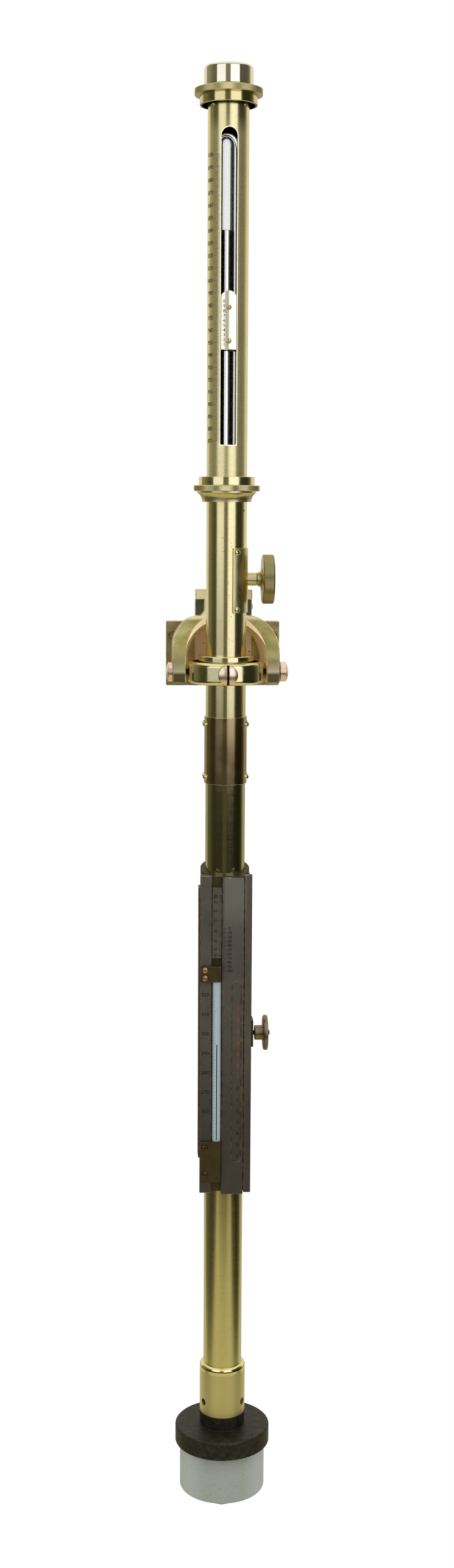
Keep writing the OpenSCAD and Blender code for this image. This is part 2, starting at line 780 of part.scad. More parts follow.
module thermometer_stem() {
    color("#B9C8CC") on_axis() difference() {
        translate([stem_x, -stem_y, stem_low]) cylinder(h = stem_top - stem_low, r = stem_r);
        translate([stem_x, -stem_y, stem_low - 1]) cylinder(h = stem_top - stem_low - 7, r = 0.45);
    }
}

module thermometer_thread() {
    color("#20242A") on_axis() translate([stem_x, -stem_y, stem_low])
        cylinder(h = thread_h, r = 0.45);
}

module clamp_plate(z0, h) {
    x0 = strip_l_x + 0.1;
    x1 = stem_x + stem_r - 0.1;
    difference() {
        box(x0, x1, -clamp_front, -strip_front, z0, z0 + h);
        translate([stem_x, -stem_y, z0 - 1]) cylinder(h = h + 2, r = stem_r);
        for (z = clamp_screw_z(z0, h)) translate([clamp_screw_x, -strip_front + 1, z]) rotate([90, 0, 0])
            cylinder(h = 10, r = 1.0);
    }
}

clamp_screw_x = strip_l_x + 3.1;
function clamp_screw_z(z0, h) = [z0 + (h > 15 ? 5.2 : 2.8), z0 + h - (h > 15 ? 3.8 : 2.4)];

module upper_clamp() {
    color("#3F3519") on_axis() clamp_plate(clamp_a_z, clamp_a_h);
}

module lower_clamp() {
    color("#3F3519") on_axis() clamp_plate(clamp_b_z, clamp_b_h);
}

module clamp_screws() {
    color("#7C6A3E") on_axis() for (z = concat(clamp_screw_z(clamp_a_z, clamp_a_h), clamp_screw_z(clamp_b_z, clamp_b_h)))
        translate([clamp_screw_x, -clamp_front, z]) rotate([90, 0, 0]) union() {
            translate([0, 0, strip_front - clamp_front]) cylinder(h = clamp_front - strip_front, r = 1.0);
            screw_head(1.85, 1.3, 0.7, 0.5, z * 7);
        }
}

module slide_boss() {
    h = 17.2;
    color("#5C5038") on_axis() difference() {
        box(unit_w / 2, sboss_out, -unit_front + 0.4, -unit_front + 12.6, sknob_z - h / 2, sknob_z + h / 2);
        translate([0, -s_axis_y, sknob_z]) rotate([0, 90, 0]) cylinder(h = 30, r = s_shaft_r + run);
    }
}

// Cistern

module ferrule() {
    lip = 2.6;
    color("#B5AD6E") on_axis() difference() {
        union() {
            translate([0, 0, ferrule_z]) cylinder(h = ferrule_h - lip, r = ferrule_r);
            translate([0, 0, ferrule_z + ferrule_h - lip]) rotate_extrude() intersection() {
                union() {
                    square([ferrule_r - lip, lip]);
                    translate([ferrule_r - lip, 0]) circle(r = lip);
                }
                square([ferrule_r, lip]);
            }
        }
        translate([0, 0, ferrule_z - 1]) cylinder(h = ferrule_h + 2, r = tube_r);
        for (a = grub_angles) rotate([0, 0, a]) translate([0, -ferrule_r - 1, grub_z]) rotate([-90, 0, 0])
            cylinder(h = ferrule_r - tube_r + 1.5, r = grub_r);
    }
}

grub_angles = [-59.5, 59.5, 180];
grub_z = ferrule_z + 8.4;
grub_r = 2.3;

module grub_screws() {
    color("#5A5138") on_axis() for (a = grub_angles) rotate([0, 0, a]) translate([0, 0, grub_z]) difference() {
        rotate([90, 0, 0]) translate([0, 0, tube_r - 0.5]) cylinder(h = 1.6, r = grub_r);
        translate([0, 0, -6]) cylinder(h = 12, r = tube_r);
        translate([-0.4, -tube_r - 2.6, -5]) cube([0.8, 2, 10]);
    }
}

module tube_bush() {
    color("#8A6B3D") on_axis() packing_at(ferrule_z + bush_up, ferrule_z + bush_up + bush_h);
}

module cistern_cover() {
    neck_z = cover_z + cover_h;
    edge = 0.8;
    color("#2F2B24") on_axis() difference() {
        union() {
            translate([0, 0, neck_z]) cylinder(h = neck_h, r = ferrule_r - 0.05);
            translate([0, 0, cover_z]) cylinder(h = cover_h - edge, r = cover_r);
            translate([0, 0, cover_z + cover_h - edge]) cylinder(h = edge, r1 = cover_r, r2 = cover_r - edge);
        }
        translate([-glass_off, 0, cover_z - 1]) cylinder(h = cover_h + neck_h + 2, r = glass_r);
        translate([0, 0, cover_z - 1]) cylinder(h = 1 + well_h, r = cistern_in);
    }
}

module cistern_washer() {
    color("#5A3A22") on_axis() packing_at(ferrule_z, ferrule_z + bush_up);
}

module cistern_cup() {
    edge = 1.5;
    tip_r = 1.6;
    color("#8F938C") on_axis() difference() {
        union() {
            translate([0, 0, cistern_z + edge]) cylinder(h = cistern_h - edge, r = cistern_r);
            translate([0, 0, cistern_z]) rotate_extrude() intersection() {
                union() {
                    square([cistern_r - edge, edge]);
                    translate([cistern_r - edge, edge]) circle(r = edge);
                }
                square([cistern_r, edge]);
            }
            translate([0, 0, cistern_z - cone_h]) cylinder(h = cone_h, r1 = tip_r, r2 = cistern_r - edge);
        }
        translate([0, 0, floor_z]) cylinder(h = cistern_h, r = cistern_in);
    }
}

module cistern_mercury() {
    color("#A5A7AA") on_axis() difference() {
        translate([0, 0, floor_z]) cylinder(h = level_z - floor_z, r = cistern_in);
        translate([-glass_off, 0, glass_low]) cylinder(h = 100, r = glass_r);
    }
}

// Vernier

module vernier_carrier() {
    lug = 8;
    top = vernier_z + vernier_h - 2;
    color("#9A8A4E") on_axis() difference() {
        union() {
            ring_at(vernier_z, top, carrier_r, carrier_in);
            intersection() {
                box(v_rack_x, v_rack_x + v_rack_w, v_pitch_r - 0.4, v_rack_back, vernier_z, vernier_z + lug);
                translate([0, 0, vernier_z]) cylinder(h = lug, r = carrier_r);
            }
        }
        for (z = vernier_screw_z) translate([0, -carrier_in + 1, z]) rotate([90, 0, 0]) cylinder(h = 4, r = 0.9);
    }
}

vernier_screw_z = [vernier_z + 5.1, vernier_z + 24.9];
vernier_front = tube_r + 0.1;

module vernier_plate() {
    top_r = 4.98;
    top = vernier_z + vernier_h;
    color("#E3D9A0") on_axis() difference() {
        intersection() {
            ring_at(vernier_z, top, vernier_front, carrier_r);
            front_extrude(-tube_r - 1, 0) intersection() {
                translate([-vernier_w / 2, vernier_z]) square([vernier_w, vernier_h]);
                union() {
                    translate([-vernier_w, vernier_z]) square([2 * vernier_w, vernier_h - top_r]);
                    translate([0, top - top_r]) circle(r = top_r);
                }
            }
        }
        for (z = vernier_screw_z) translate([0, 0, z]) rotate([90, 0, 0]) cylinder(h = 20, r = 0.9);
    }
}

module vernier_screws() {
    color("#D8CFA0") on_axis() for (z = vernier_screw_z) translate([0, -vernier_front, z]) rotate([90, 0, 0]) union() {
        translate([0, 0, carrier_in - vernier_front]) cylinder(h = vernier_front - carrier_in, r = 0.9);
        screw_head(1.65, 0.9, 0.5, 0.4, z * 3);
    }
}

module vernier_rack() {
    pitch = PI * vm;
    below = ceil((vknob_z - v_rack_low) / pitch);
    above = floor((vernier_z - 2 - vknob_z) / pitch);
    z0 = vknob_z - below * pitch;
    color("#8F804A") on_axis() side_extrude(v_rack_x, v_rack_x + v_rack_w) polygon(concat(
        [[v_rack_back, z0 - 1.2], [v_pitch_r + 0.75, z0 - 1.2]],
        rack_teeth(vm, below + above + 1, v_pitch_r, z0, v_back / 2, 0.5, 0.75),
        [[v_pitch_r + 0.75, vernier_z], [v_rack_back, vernier_z]]));
}

module vernier_pinion() {
    out = vknob_x + vknob_t;
    color("#A89858") on_axis() union() {
        side_extrude(v_rack_x, v_rack_x + v_rack_w) translate([0, vknob_z])
            polygon(pinion_points(vm, vn, v_back / 2, 0.6, 0.75, 180 / vn));
        translate([v_rack_x, 0, vknob_z]) rotate([0, 90, 0]) cylinder(h = out - v_rack_x, r = shaft_r);
    }
}

module vernier_knob() {
    x0 = boss_out + hub_gap;
    flare = vknob_x - x0;
    hub_r = 6.8;
    step = hub_r - boss_r;
    edge = 1.2;
    color("#C9B56E") on_axis() translate([0, 0, vknob_z]) rotate([0, 90, 0]) difference() {
        rotate_extrude() difference() {
            union() {
                translate([shaft_r, x0]) square([hub_r - shaft_r, flare]);
                translate([shaft_r, vknob_x]) square([vknob_r - edge - shaft_r, vknob_t]);
                translate([shaft_r, vknob_x + edge]) square([vknob_r - shaft_r, vknob_t - 2 * edge]);
                for (x = [vknob_x + edge, vknob_x + vknob_t - edge]) translate([vknob_r - edge, x]) circle(r = edge);
            }
            translate([boss_r + step, x0]) circle(r = step);
        }
    }
}

module vernier_knob_nut() {
    color("#B9A560") on_axis() translate([vknob_x + vknob_t, 0, vknob_z]) rotate([0, 90, 0])
        screw_head(3.6, 2.4, 1.0, 0.9, 25);
}

// Moving correction slide, its rack and its knob

module correction_slide() {
    recess_w = 5.9;
    recess_z0 = unit_bottom + recess_up;
    recess_z1 = clamp_a_z;
    recess_x = slide_x + 6.3;
    color("#5E574B") on_axis() difference() {
        union() {
            box(slide_x, slide_x + slide_w, -slide_front, -slide_y, slide_bottom, slide_top);
            translate([tongue_x, -unit_front, slide_bottom]) linear_extrude(height = slide_top - slide_bottom) union() {
                dovetail_shape(tongue_w, tongue_d, 0);
                translate([-tongue_w / 2, -gap - 0.5]) square([tongue_w, gap + 0.51]);
            }
        }
        front_extrude(-slide_front - 1, -slide_front + 0.7) translate([recess_x, 0]) union() {
            translate([0, recess_z0 + recess_w / 2]) square([recess_w, recess_z1 - recess_z0 - recess_w]);
            for (z = [recess_z0 + recess_w / 2, recess_z1 - recess_w / 2]) translate([recess_w / 2, z]) circle(r = recess_w / 2);
        }
        box(s_rack_x, s_rack_x + s_rack_w, -slide_y - 0.9, -slide_y + 1,
            s_rack_low - 1.2, s_rack_low + s_rack_n * PI * sm + 1.2);
    }
}

module slide_rack() {
    pitch = PI * sm;
    below = floor((sknob_z - s_rack_low) / pitch);
    z0 = sknob_z - below * pitch;
    y_back = slide_y + 0.9;
    root = s_pitch_r + 0.65;
    color("#8F804A") on_axis() side_extrude(s_rack_x, s_rack_x + s_rack_w) mirror([1, 0]) translate([s_axis_y, 0])
        polygon(concat(
            [[y_back - s_axis_y, s_rack_low - 1.2], [root, s_rack_low - 1.2]],
            rack_teeth(sm, s_rack_n, s_pitch_r, z0, s_back / 2, 0.45, 0.65),
            [[root, s_rack_low + s_rack_n * pitch + 1.2], [y_back - s_axis_y, s_rack_low + s_rack_n * pitch + 1.2]]));
}

module slide_pinion() {
    color("#A89858") on_axis() translate([0, -s_axis_y, 0]) union() {
        side_extrude(s_rack_x, s_rack_x + s_rack_w) translate([0, sknob_z])
            polygon(pinion_points(sm, sn, s_back / 2, 0.5, 0.6, 180 / sn));
        translate([s_rack_x, 0, sknob_z]) rotate([0, 90, 0])
            cylinder(h = sknob_x + sknob_t - s_rack_x, r = s_shaft_r);
    }
}

module slide_knob() {
    hub_r = 4.7;
    edge = 0.8;
    color("#6B5F45") on_axis() translate([0, -s_axis_y, sknob_z]) rotate([0, 90, 0]) rotate_extrude() union() {
        translate([s_shaft_r, shub_x]) square([hub_r - s_shaft_r, sknob_x - shub_x]);
        translate([s_shaft_r, sknob_x]) square([sknob_r - edge - s_shaft_r, sknob_t]);
        translate([s_shaft_r, sknob_x + edge]) square([sknob_r - s_shaft_r, sknob_t - 2 * edge]);
        for (x = [sknob_x + edge, sknob_x + sknob_t - edge]) translate([sknob_r - edge, x]) circle(r = edge);
    }
}

module slide_knob_screw() {
    color("#8A7B52") on_axis() translate([sknob_x + sknob_t, -s_axis_y, sknob_z]) rotate([0, 90, 0])
        screw_head(1.9, 1.3, 0.8, 0.5, 70);
}

module latitude_plate() {
    color("#6A6152") on_axis() box(lat_x, lat_x + lat_w, -slide_y - lat_t, -slide_y, lat_z, lat_z + lat_h);
}

wall_plate();
socket_block();
lock_screw();
suspension_arm();
arm_pivot_screws();
gimbal_ring();
ring_pivot_screws();
body_tube();
gimbal_collar();
top_cap();
top_flange();
top_pegs();
scale_ring();
scale_collar();
name_sleeve();
name_sleeve_screws();
shaft_saddle();
saddle_screws();
glass_tube();
mercury_column();
upper_packing();
lower_packing();
scale_body();
body_clamp();
left_strip();
right_strip();
side_cover();
thermometer_stem();
thermometer_thread();
upper_clamp();
lower_clamp();
clamp_screws();
slide_boss();
ferrule();
grub_screws();
tube_bush();
cistern_cover();
cistern_washer();
cistern_cup();
cistern_mercury();
vernier_carrier();
vernier_plate();
vernier_screws();
vernier_rack();
vernier_pinion();
vernier_knob();
vernier_knob_nut();
correction_slide();
slide_rack();
slide_pinion();
slide_knob();
slide_knob_screw();
latitude_plate();
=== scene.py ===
import math

import bmesh
import bpy
from mathutils import Matrix, Vector


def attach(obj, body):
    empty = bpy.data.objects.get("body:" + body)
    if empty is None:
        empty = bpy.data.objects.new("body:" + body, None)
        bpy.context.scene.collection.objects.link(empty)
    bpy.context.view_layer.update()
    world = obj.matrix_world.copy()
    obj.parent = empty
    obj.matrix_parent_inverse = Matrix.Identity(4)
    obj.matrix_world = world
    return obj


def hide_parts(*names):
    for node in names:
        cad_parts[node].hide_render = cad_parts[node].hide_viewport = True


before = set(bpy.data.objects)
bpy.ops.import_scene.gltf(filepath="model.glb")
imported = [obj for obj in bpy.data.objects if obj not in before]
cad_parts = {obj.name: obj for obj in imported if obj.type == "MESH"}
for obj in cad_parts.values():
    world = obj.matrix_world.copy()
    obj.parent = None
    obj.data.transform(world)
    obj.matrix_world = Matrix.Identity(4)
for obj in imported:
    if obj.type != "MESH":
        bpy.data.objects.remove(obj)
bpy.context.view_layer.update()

# Studio. The camera looks a little down on the barometer, from a metre away. The world is a
# pale tent behind and beside it, with dark gaps that the bright metal shows between two large
# soft boxes. Camera and glass see it plain white.

AXIS_Y = -0.044  # the barometer hangs this far in front of the wall
WHITE = (1.0, 1.0, 1.0, 1.0)

scene = bpy.context.scene
scene.view_settings.view_transform = "Standard"

eye = bpy.data.objects.new("camera", bpy.data.cameras.new("camera"))
eye.data.sensor_fit = "AUTO"
eye.data.sensor_width = 36.0
eye.data.lens = 43.3198
eye.location = (-0.065777, -1.220510, 0.099654)
eye.rotation_euler = [math.radians(a) for a in (81.354769, -0.300780, -3.208054)]
scene.collection.objects.link(eye)
scene.camera = eye


def linear(colour):
    """An sRGB hex colour as the linear values that a shader takes."""
    parts = [int(colour[i : i + 2], 16) / 255 for i in (1, 3, 5)]
    return tuple(p / 12.92 if p <= 0.04045 else ((p + 0.055) / 1.055) ** 2.4 for p in parts) + (1.0,)


def fill(tree, node, inputs):
    """Sets each of a node's inputs to its value, or links it to its socket."""
    for socket, value in inputs.items():
        if isinstance(value, bpy.types.NodeSocket):
            tree.links.new(value, node.inputs[socket])
        else:
            node.inputs[socket].default_value = value


def add(tree, kind, inputs=None, **settings):
    """Adds one node to a tree with its settings and its inputs."""
    node = tree.nodes.new("ShaderNode" + kind)
    for name, value in settings.items():
        setattr(node, name, value)
    fill(tree, node, inputs or {})
    return node


def seen_plain(tree):
    """1 for rays from the camera, direct or through glass, and 0 for those that light or mirror."""
    path = add(tree, "LightPath")
    return add(tree, "Math", {0: path.outputs["Is Camera Ray"], 1: path.outputs["Is Transmission Ray"]},
               operation="MAXIMUM").outputs[0]


def piece_from(name, bm, *finishes):
    """A new object in the scene with the finished mesh and its finishes."""
    mesh = bpy.data.meshes.new(name)
    bm.to_mesh(mesh)
    bm.free()
    for finish in finishes:
        mesh.materials.append(finish)
    piece = bpy.data.objects.new(name, mesh)
    scene.collection.objects.link(piece)
    return piece


world = bpy.data.worlds.new("studio")
scene.world = world
world.use_nodes = True
tree = world.node_tree
tree.nodes.clear()
way = add(tree, "SeparateXYZ", {0: add(tree, "TexCoord").outputs["Generated"]})
ahead = add(tree, "Math", {0: way.outputs[1], 1: -1.0}, operation="MULTIPLY")
turn = add(tree, "Math", {0: way.outputs[0], 1: ahead.outputs[0]}, operation="ARCTAN2")
bearing = add(tree, "MapRange", {0: turn.outputs[0], 1: -math.pi, 2: math.pi})
tent = add(tree, "ValToRGB", {0: bearing.outputs[0]})
stops = tent.color_ramp.elements

# Degrees from straight in front of the wall, each with the tent's brightness there.
for degrees, level in ((-180, 0.85), (-130, 0.85), (-124, 0.27), (-100, 0.20), (-84, 0.09), (-60, 0.06),
                       (-19, 0.06), (-17, 0.15), (3, 0.15), (6, 0.05), (50, 0.035), (88, 0.035), (97, 0.08),
                       (108, 0.17), (116, 0.60), (122, 0.85), (180, 0.85)):
    if degrees == -180:
        stop = stops[0]
    elif degrees == 180:
        stop = stops[-1]
    else:
        stop = stops.new((degrees + 180) / 360)
    stop.color = (level, level * 0.94, level * (0.62 if level < 0.5 else 0.85), 1.0)

# Overhead the tent is open and bright, and below the camera's height it is dimmer.
above = add(tree, "MapRange", {0: way.outputs[2], 1: 0.60, 2: 0.78})
lofty = add(tree, "Mix", {0: above.outputs[0], 6: tent.outputs[0], 7: (0.95, 0.95, 0.95, 1.0)},
            data_type="RGBA")
beneath = add(tree, "MapRange", {0: way.outputs[2], 1: -0.13, 2: -0.07, 3: 0.45, 4: 1.0})
lowly = add(tree, "VectorMath", {0: lofty.outputs[2], 3: beneath.outputs[0]}, operation="SCALE")
path = add(tree, "LightPath")
soft = add(tree, "Mix", {0: path.outputs["Is Diffuse Ray"], 6: lowly.outputs[0], 7: WHITE}, data_type="RGBA")
shown = add(tree, "Mix", {0: seen_plain(tree), 6: soft.outputs[2], 7: WHITE}, data_type="RGBA")
sky = add(tree, "Background", {0: shown.outputs[2]})
add(tree, "OutputWorld", {0: sky.outputs[0]})

BOX_AWAY = 1.4  # from the barometer's axis to each soft box
for name, degrees, width, low, high, level in (("soft_box_left", -38.5, 1.07, -0.0484, 1.2, 1.05),
                                               ("soft_box_left_foot", -38.5, 1.07, -0.18, -0.09, 0.8),
                                               ("soft_box_right", 26.4, 1.09, -0.22, 1.2, 1.3)):
    lamp = bpy.data.lights.new(name, "AREA")
    lamp.shape, lamp.size, lamp.size_y = "RECTANGLE", width, high - low
    lamp.color = (1.0, 1.0, 1.25)
    lamp.energy = level * math.pi * width * (high - low)
    box = bpy.data.objects.new(name, lamp)
    a = math.radians(degrees)
    box.location = (BOX_AWAY * math.sin(a), AXIS_Y - BOX_AWAY * math.cos(a), (low + high) / 2)
    box.rotation_euler = (math.radians(90), 0, a)
    scene.collection.objects.link(box)

# Matt paper floor. Light that falls on it comes back warm, and the camera sees it white.
paper = bpy.data.materials.new("white_paper")
paper.use_nodes = True
tree = paper.node_tree
tree.nodes.clear()
matt = add(tree, "BsdfDiffuse", {"Color": linear("#C8C1A2")})
glow = add(tree, "Emission", {"Color": WHITE, "Strength": 1.0})
lit = add(tree, "MixShader", {0: seen_plain(tree), 1: matt.outputs[0], 2: glow.outputs[0]})
add(tree, "OutputMaterial", {0: lit.outputs[0]})
bm = bmesh.new()
bmesh.ops.create_grid(bm, x_segments=1, y_segments=1, size=1.0,
                      matrix=Matrix.Translation((0, AXIS_Y, -1.2)) @ Matrix.Diagonal((1.5, 2.0, 1, 1)))
floor = piece_from("floor", bm, paper)

# Wall bracket: a cast brass plate with four screw holes, and a milled socket block on it with a
# dovetail, in which the arm hangs. Both have gone brown, and are bright only where they rub.


def surface(name, inputs=None):
    """A new material, its tree, its shader with the values that are the same all over, and its object
    coordinates. It is a metal unless its inputs say otherwise."""
    material = bpy.data.materials.new(name)
    material.use_nodes = True
    tree = material.node_tree
    shader = tree.nodes["Principled BSDF"]
    fill(tree, shader, {"Metallic": 1.0} | (inputs or {}))
    return material, tree, shader, add(tree, "TexCoord").outputs["Object"]


def mottled(tree, here, size, detail, dark, light, between=None):
    """A noise in blotches of that size in metres, and the skin that it clouds from dark to light. The
    change can be kept between two levels of the noise, which gives it harder edges."""
    noise = add(tree, "TexNoise", {0: here, "Scale": 1 / size, "Detail": detail}).outputs[0]
    share = noise
    if between:
        share = add(tree, "MapRange", {0: noise, 1: between[0], 2: between[1]}).outputs[0]
    skin = add(tree, "Mix", {0: share, 6: linear(dark), 7: linear(light)}, data_type="RGBA")
    return noise, skin.outputs[2]


def tinted(tree, value, start, end, skin, colour, most=1.0):
    """The skin, changed to the colour as the value goes from start to end, by the most at the end."""
    share = add(tree, "MapRange", {0: value, 1: start, 2: end, 4: most})
    return add(tree, "Mix", {0: share.outputs[0], 6: skin, 7: linear(colour)}, data_type="RGBA").outputs[2]


def stand_in(piece, node, body):
    """The piece is shown for the node, and goes with its body."""
    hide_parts(node)
    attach(piece, body)


def machined(node, body, finishes, ease=0.0002, turned=False, rim=0.0):
    """The node's solid with its loose triangles merged and its corners eased by the width in metres.
    The eased corners take the last of the finishes, so that they can be worn bright; on the tube's slots
    that finish is a painted highlight.
    A turned piece's round faces are shaded as true rounds about the barometer's axis, and its rims can be
    rounded."""
    bm = bmesh.new()
    bm.from_mesh(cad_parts[node].data)
    bmesh.ops.remove_doubles(bm, verts=bm.verts, dist=2e-6)
    bmesh.ops.dissolve_limit(bm, angle_limit=math.radians(0.4), verts=bm.verts, edges=bm.edges)
    if rim:
        away = {v: math.hypot(v.co.x, v.co.y - AXIS_Y) for v in bm.verts}
        far = max(away.values()) - 0.00005
        rims = [e for e in bm.edges if e.is_manifold and min(away[v] for v in e.verts) > far
                and abs(e.verts[0].co.z - e.verts[1].co.z) < 1e-6 and e.calc_face_angle() > 1.0]
        bmesh.ops.bevel(bm, geom=rims, offset=rim, offset_type="OFFSET", segments=6, profile=0.5,
                        affect="EDGES", clamp_overlap=False, material=-1)
    corners = [e for e in bm.edges if e.is_manifold and e.calc_face_angle() > math.radians(32)]
    for face in bm.faces:
        face.material_index, face.smooth = 0, True
    eased = set(bmesh.ops.bevel(bm, geom=corners, offset=ease, offset_type="OFFSET", segments=2, profile=0.5,
                                affect="EDGES", clamp_overlap=False, material=-1)["faces"])
    for face in eased:
        face.material_index, face.smooth = len(finishes) - 1, True
    normals = []
    for point in bm.verts:
        flats = [f for f in point.link_faces if f not in eased] or point.link_faces
        normal = sum((f.normal * f.calc_area() for f in flats), Vector()).normalized()
        out = Vector((point.co.x, point.co.y - AXIS_Y, 0)).normalized()
        if turned and abs(normal.z) < 0.1 and abs(normal.dot(out)) > 0.96:
            normal = out if normal.dot(out) > 0 else -out
        normals.append(normal)
    piece = piece_from("finished_" + node, bm, *finishes)
    piece.data.normals_split_custom_set_from_vertices(normals)
    stand_in(piece, node, body)


# Old cast brass: brown-olive skin with darker blotches of 3 to 8 mm, and dark pits under 1 mm.
plate_brass, tree, shader, here = surface("aged_cast_brass")
blotch, skin = mottled(tree, here, 0.007, 4.0, "#A8966A", "#CDBD86", between=(0.36, 0.66))
pits = add(tree, "TexNoise", {0: here, "Scale": 1 / 0.0012, "Detail": 2.0})
skin = tinted(tree, pits.outputs[0], 0.66, 0.70, skin, "#4A3E28")
dull = add(tree, "MapRange", {0: blotch, 1: 0.3, 2: 0.7, 3: 0.55, 4: 0.42})
rough = add(tree, "Bump", {"Strength": 0.35, "Distance": 0.0002, "Height": pits.outputs[0]})
fill(tree, shader, {"Base Color": skin, "Roughness": dull.outputs[0], "Normal": rough.outputs[0]})

# Rubbed edge of the same brass: nearly clean metal, with tarnish left in patches of 3 mm.
worn_brass, tree, shader, here = surface("rubbed_brass_edge", {"Roughness": 0.3})
skin = mottled(tree, here, 0.003, 3.0, "#C2B47C", "#F4E9BC", between=(0.4, 0.6))[1]
fill(tree, shader, {"Base Color": skin})

machined("wall_plate", "wall_bracket", [plate_brass, worn_brass], 0.0003)

# Four countersunk brass screws hold the plate to the wall. A screw's head is two half rounds,
# with the driver's slot between them and its floor on the countersunk cone.
HEAD_R, HEAD_H = 0.0026, 0.0007
CONE_R, CONE_H = (0.0020, 0.0025), 0.0010
SLOT_FLOOR = -0.0051
SLOT_TURN = 9  # degrees from the slot's middle to its side, at the rim
for x in (-0.0314, 0.0314):
    for z in (-0.0113, 0.0113):
        bm = bmesh.new()
        rest = Matrix.Translation((x, SLOT_FLOOR, z)) @ Matrix.Rotation(math.pi / 2, 4, "X")
        bmesh.ops.create_cone(bm, cap_ends=True, segments=32, radius1=CONE_R[0], radius2=CONE_R[1],
                              depth=CONE_H, matrix=rest @ Matrix.Translation((0, 0, -CONE_H / 2)))
        for side in (0, 180):
            angles = [math.radians(side + SLOT_TURN + (180 - 2 * SLOT_TURN) * i / 12) for i in range(13)]
            edge = [rest @ Vector((HEAD_R * math.cos(a), HEAD_R * math.sin(a), 0)) for a in angles]
            half = bm.faces.new([bm.verts.new(point) for point in edge])
            made = bmesh.ops.extrude_face_region(bm, geom=[half])["geom"]
            bmesh.ops.translate(bm, vec=(0, -HEAD_H, 0),
                                verts=[v for v in made if isinstance(v, bmesh.types.BMVert)])
        bmesh.ops.recalc_face_normals(bm, faces=bm.faces)
        screw = piece_from("wall_screw", bm, worn_brass)
        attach(screw, "wall_bracket")

# Milled block, its copper-rich brass gone pinkish brown, with dark dots, and darker above its top edge.
BLOCK_EDGE = (0.0222, 0.0228)  # heights from which and to which it darkens
block_brass, tree, shader, here = surface("brown_milled_brass", {"Metallic": 0.15})
cloud, skin = mottled(tree, here, 0.009, 3.0, "#DCC094", "#F0D9B0")
dots = add(tree, "TexVoronoi", {0: here, "Scale": 1 / 0.006})
skin = tinted(tree, dots.outputs["Distance"], 0.09, 0.05, skin, "#3B2F1E")
level = add(tree, "SeparateXYZ", {0: here})
skin = tinted(tree, level.outputs[2], *BLOCK_EDGE, skin, "#4A4C38")
dull = add(tree, "MapRange", {0: cloud, 1: 0.3, 2: 0.7, 3: 0.5, 4: 0.38})
fill(tree, shader, {"Base Color": skin, "Roughness": dull.outputs[0]})
machined("socket_block", "wall_bracket", [block_brass, worn_brass], 0.0003)


def off_axis(tree, here):
    """A point's place across the barometer's axis, and its distance from it."""
    flat = add(tree, "Mapping", {0: here, "Location": (0.0, -AXIS_Y, 0.0), "Scale": (1.0, 1.0, 0.0)})
    away = add(tree, "VectorMath", {0: flat.outputs[0]}, operation="LENGTH")
    return flat.outputs[0], away.outputs["Value"]


# Turned screws of copper-rich alloy, with fine tool lines. Their slots, and their shanks in the gaps between
# parts, are darkened with painted shade.
HEAD_FROM = 0.0255  # the pivot screws' heads start this far from the barometer's axis
SLOT_HALF = 0.0006
screw_copper, tree, shader, here = surface("turned_copper_alloy")
lines, skin = mottled(tree, here, 0.0006, 2.0, "#EECDA6", "#FDECD2")
flat, away = off_axis(tree, here)
shank = add(tree, "MapRange", {0: away, 1: HEAD_FROM, 2: HEAD_FROM - 0.0001})
sides = add(tree, "VectorMath", {0: flat}, operation="ABSOLUTE")
sides = add(tree, "SeparateXYZ", {0: sides.outputs[0]})
near = add(tree, "Math", {0: sides.outputs[0], 1: sides.outputs[1]}, operation="MINIMUM")
slot = add(tree, "MapRange", {0: near.outputs[0], 1: SLOT_HALF + 0.00002, 2: SLOT_HALF - 0.00002})
# Painted shade: the slots and the shanks in the gaps between parts are made near black.
slot_and_shank_shade = add(tree, "Math", {0: shank.outputs[0], 1: slot.outputs[0]}, operation="MAXIMUM")
skin = add(tree, "Mix", {0: slot_and_shank_shade.outputs[0], 6: skin, 7: linear("#2A2012")}, data_type="RGBA")
dull = add(tree, "MapRange", {0: lines, 1: 0.3, 2: 0.7, 3: 0.22, 4: 0.34})
fill(tree, shader, {"Base Color": skin.outputs[2], "Roughness": dull.outputs[0]})
machined("lock_screw", "wall_bracket", [screw_copper], 0.0001)

# Suspension arm: one brass casting, filed and not polished, that lifts out of the socket. Two
# pivot screws through its feet carry the gimbal ring.

ARCH_Z, ARCH_R = 0.0016, 0.0255  # the round opening that the barometer hangs in
# ARM_TOP, FEET_EDGE and FEET are the heights of the arm's painted light and shade.
ARM_TOP, FEET_EDGE, FEET = (0.0222, 0.0240), (-0.0020, -0.0075), (-0.0080, -0.0095)  # heights of its tints


def tool_lines(tree, here, scale, detail, tilt=0.0):
    """Fine lines that a tool left: a noise, drawn out by its number of features to the metre on each
    axis. 2000 is one each half millimetre."""
    drawn = add(tree, "Mapping", {0: here, "Rotation": (0.0, tilt, 0.0), "Scale": scale})
    return add(tree, "TexNoise", {0: drawn.outputs[0], "Scale": 1.0, "Detail": detail}).outputs[0]


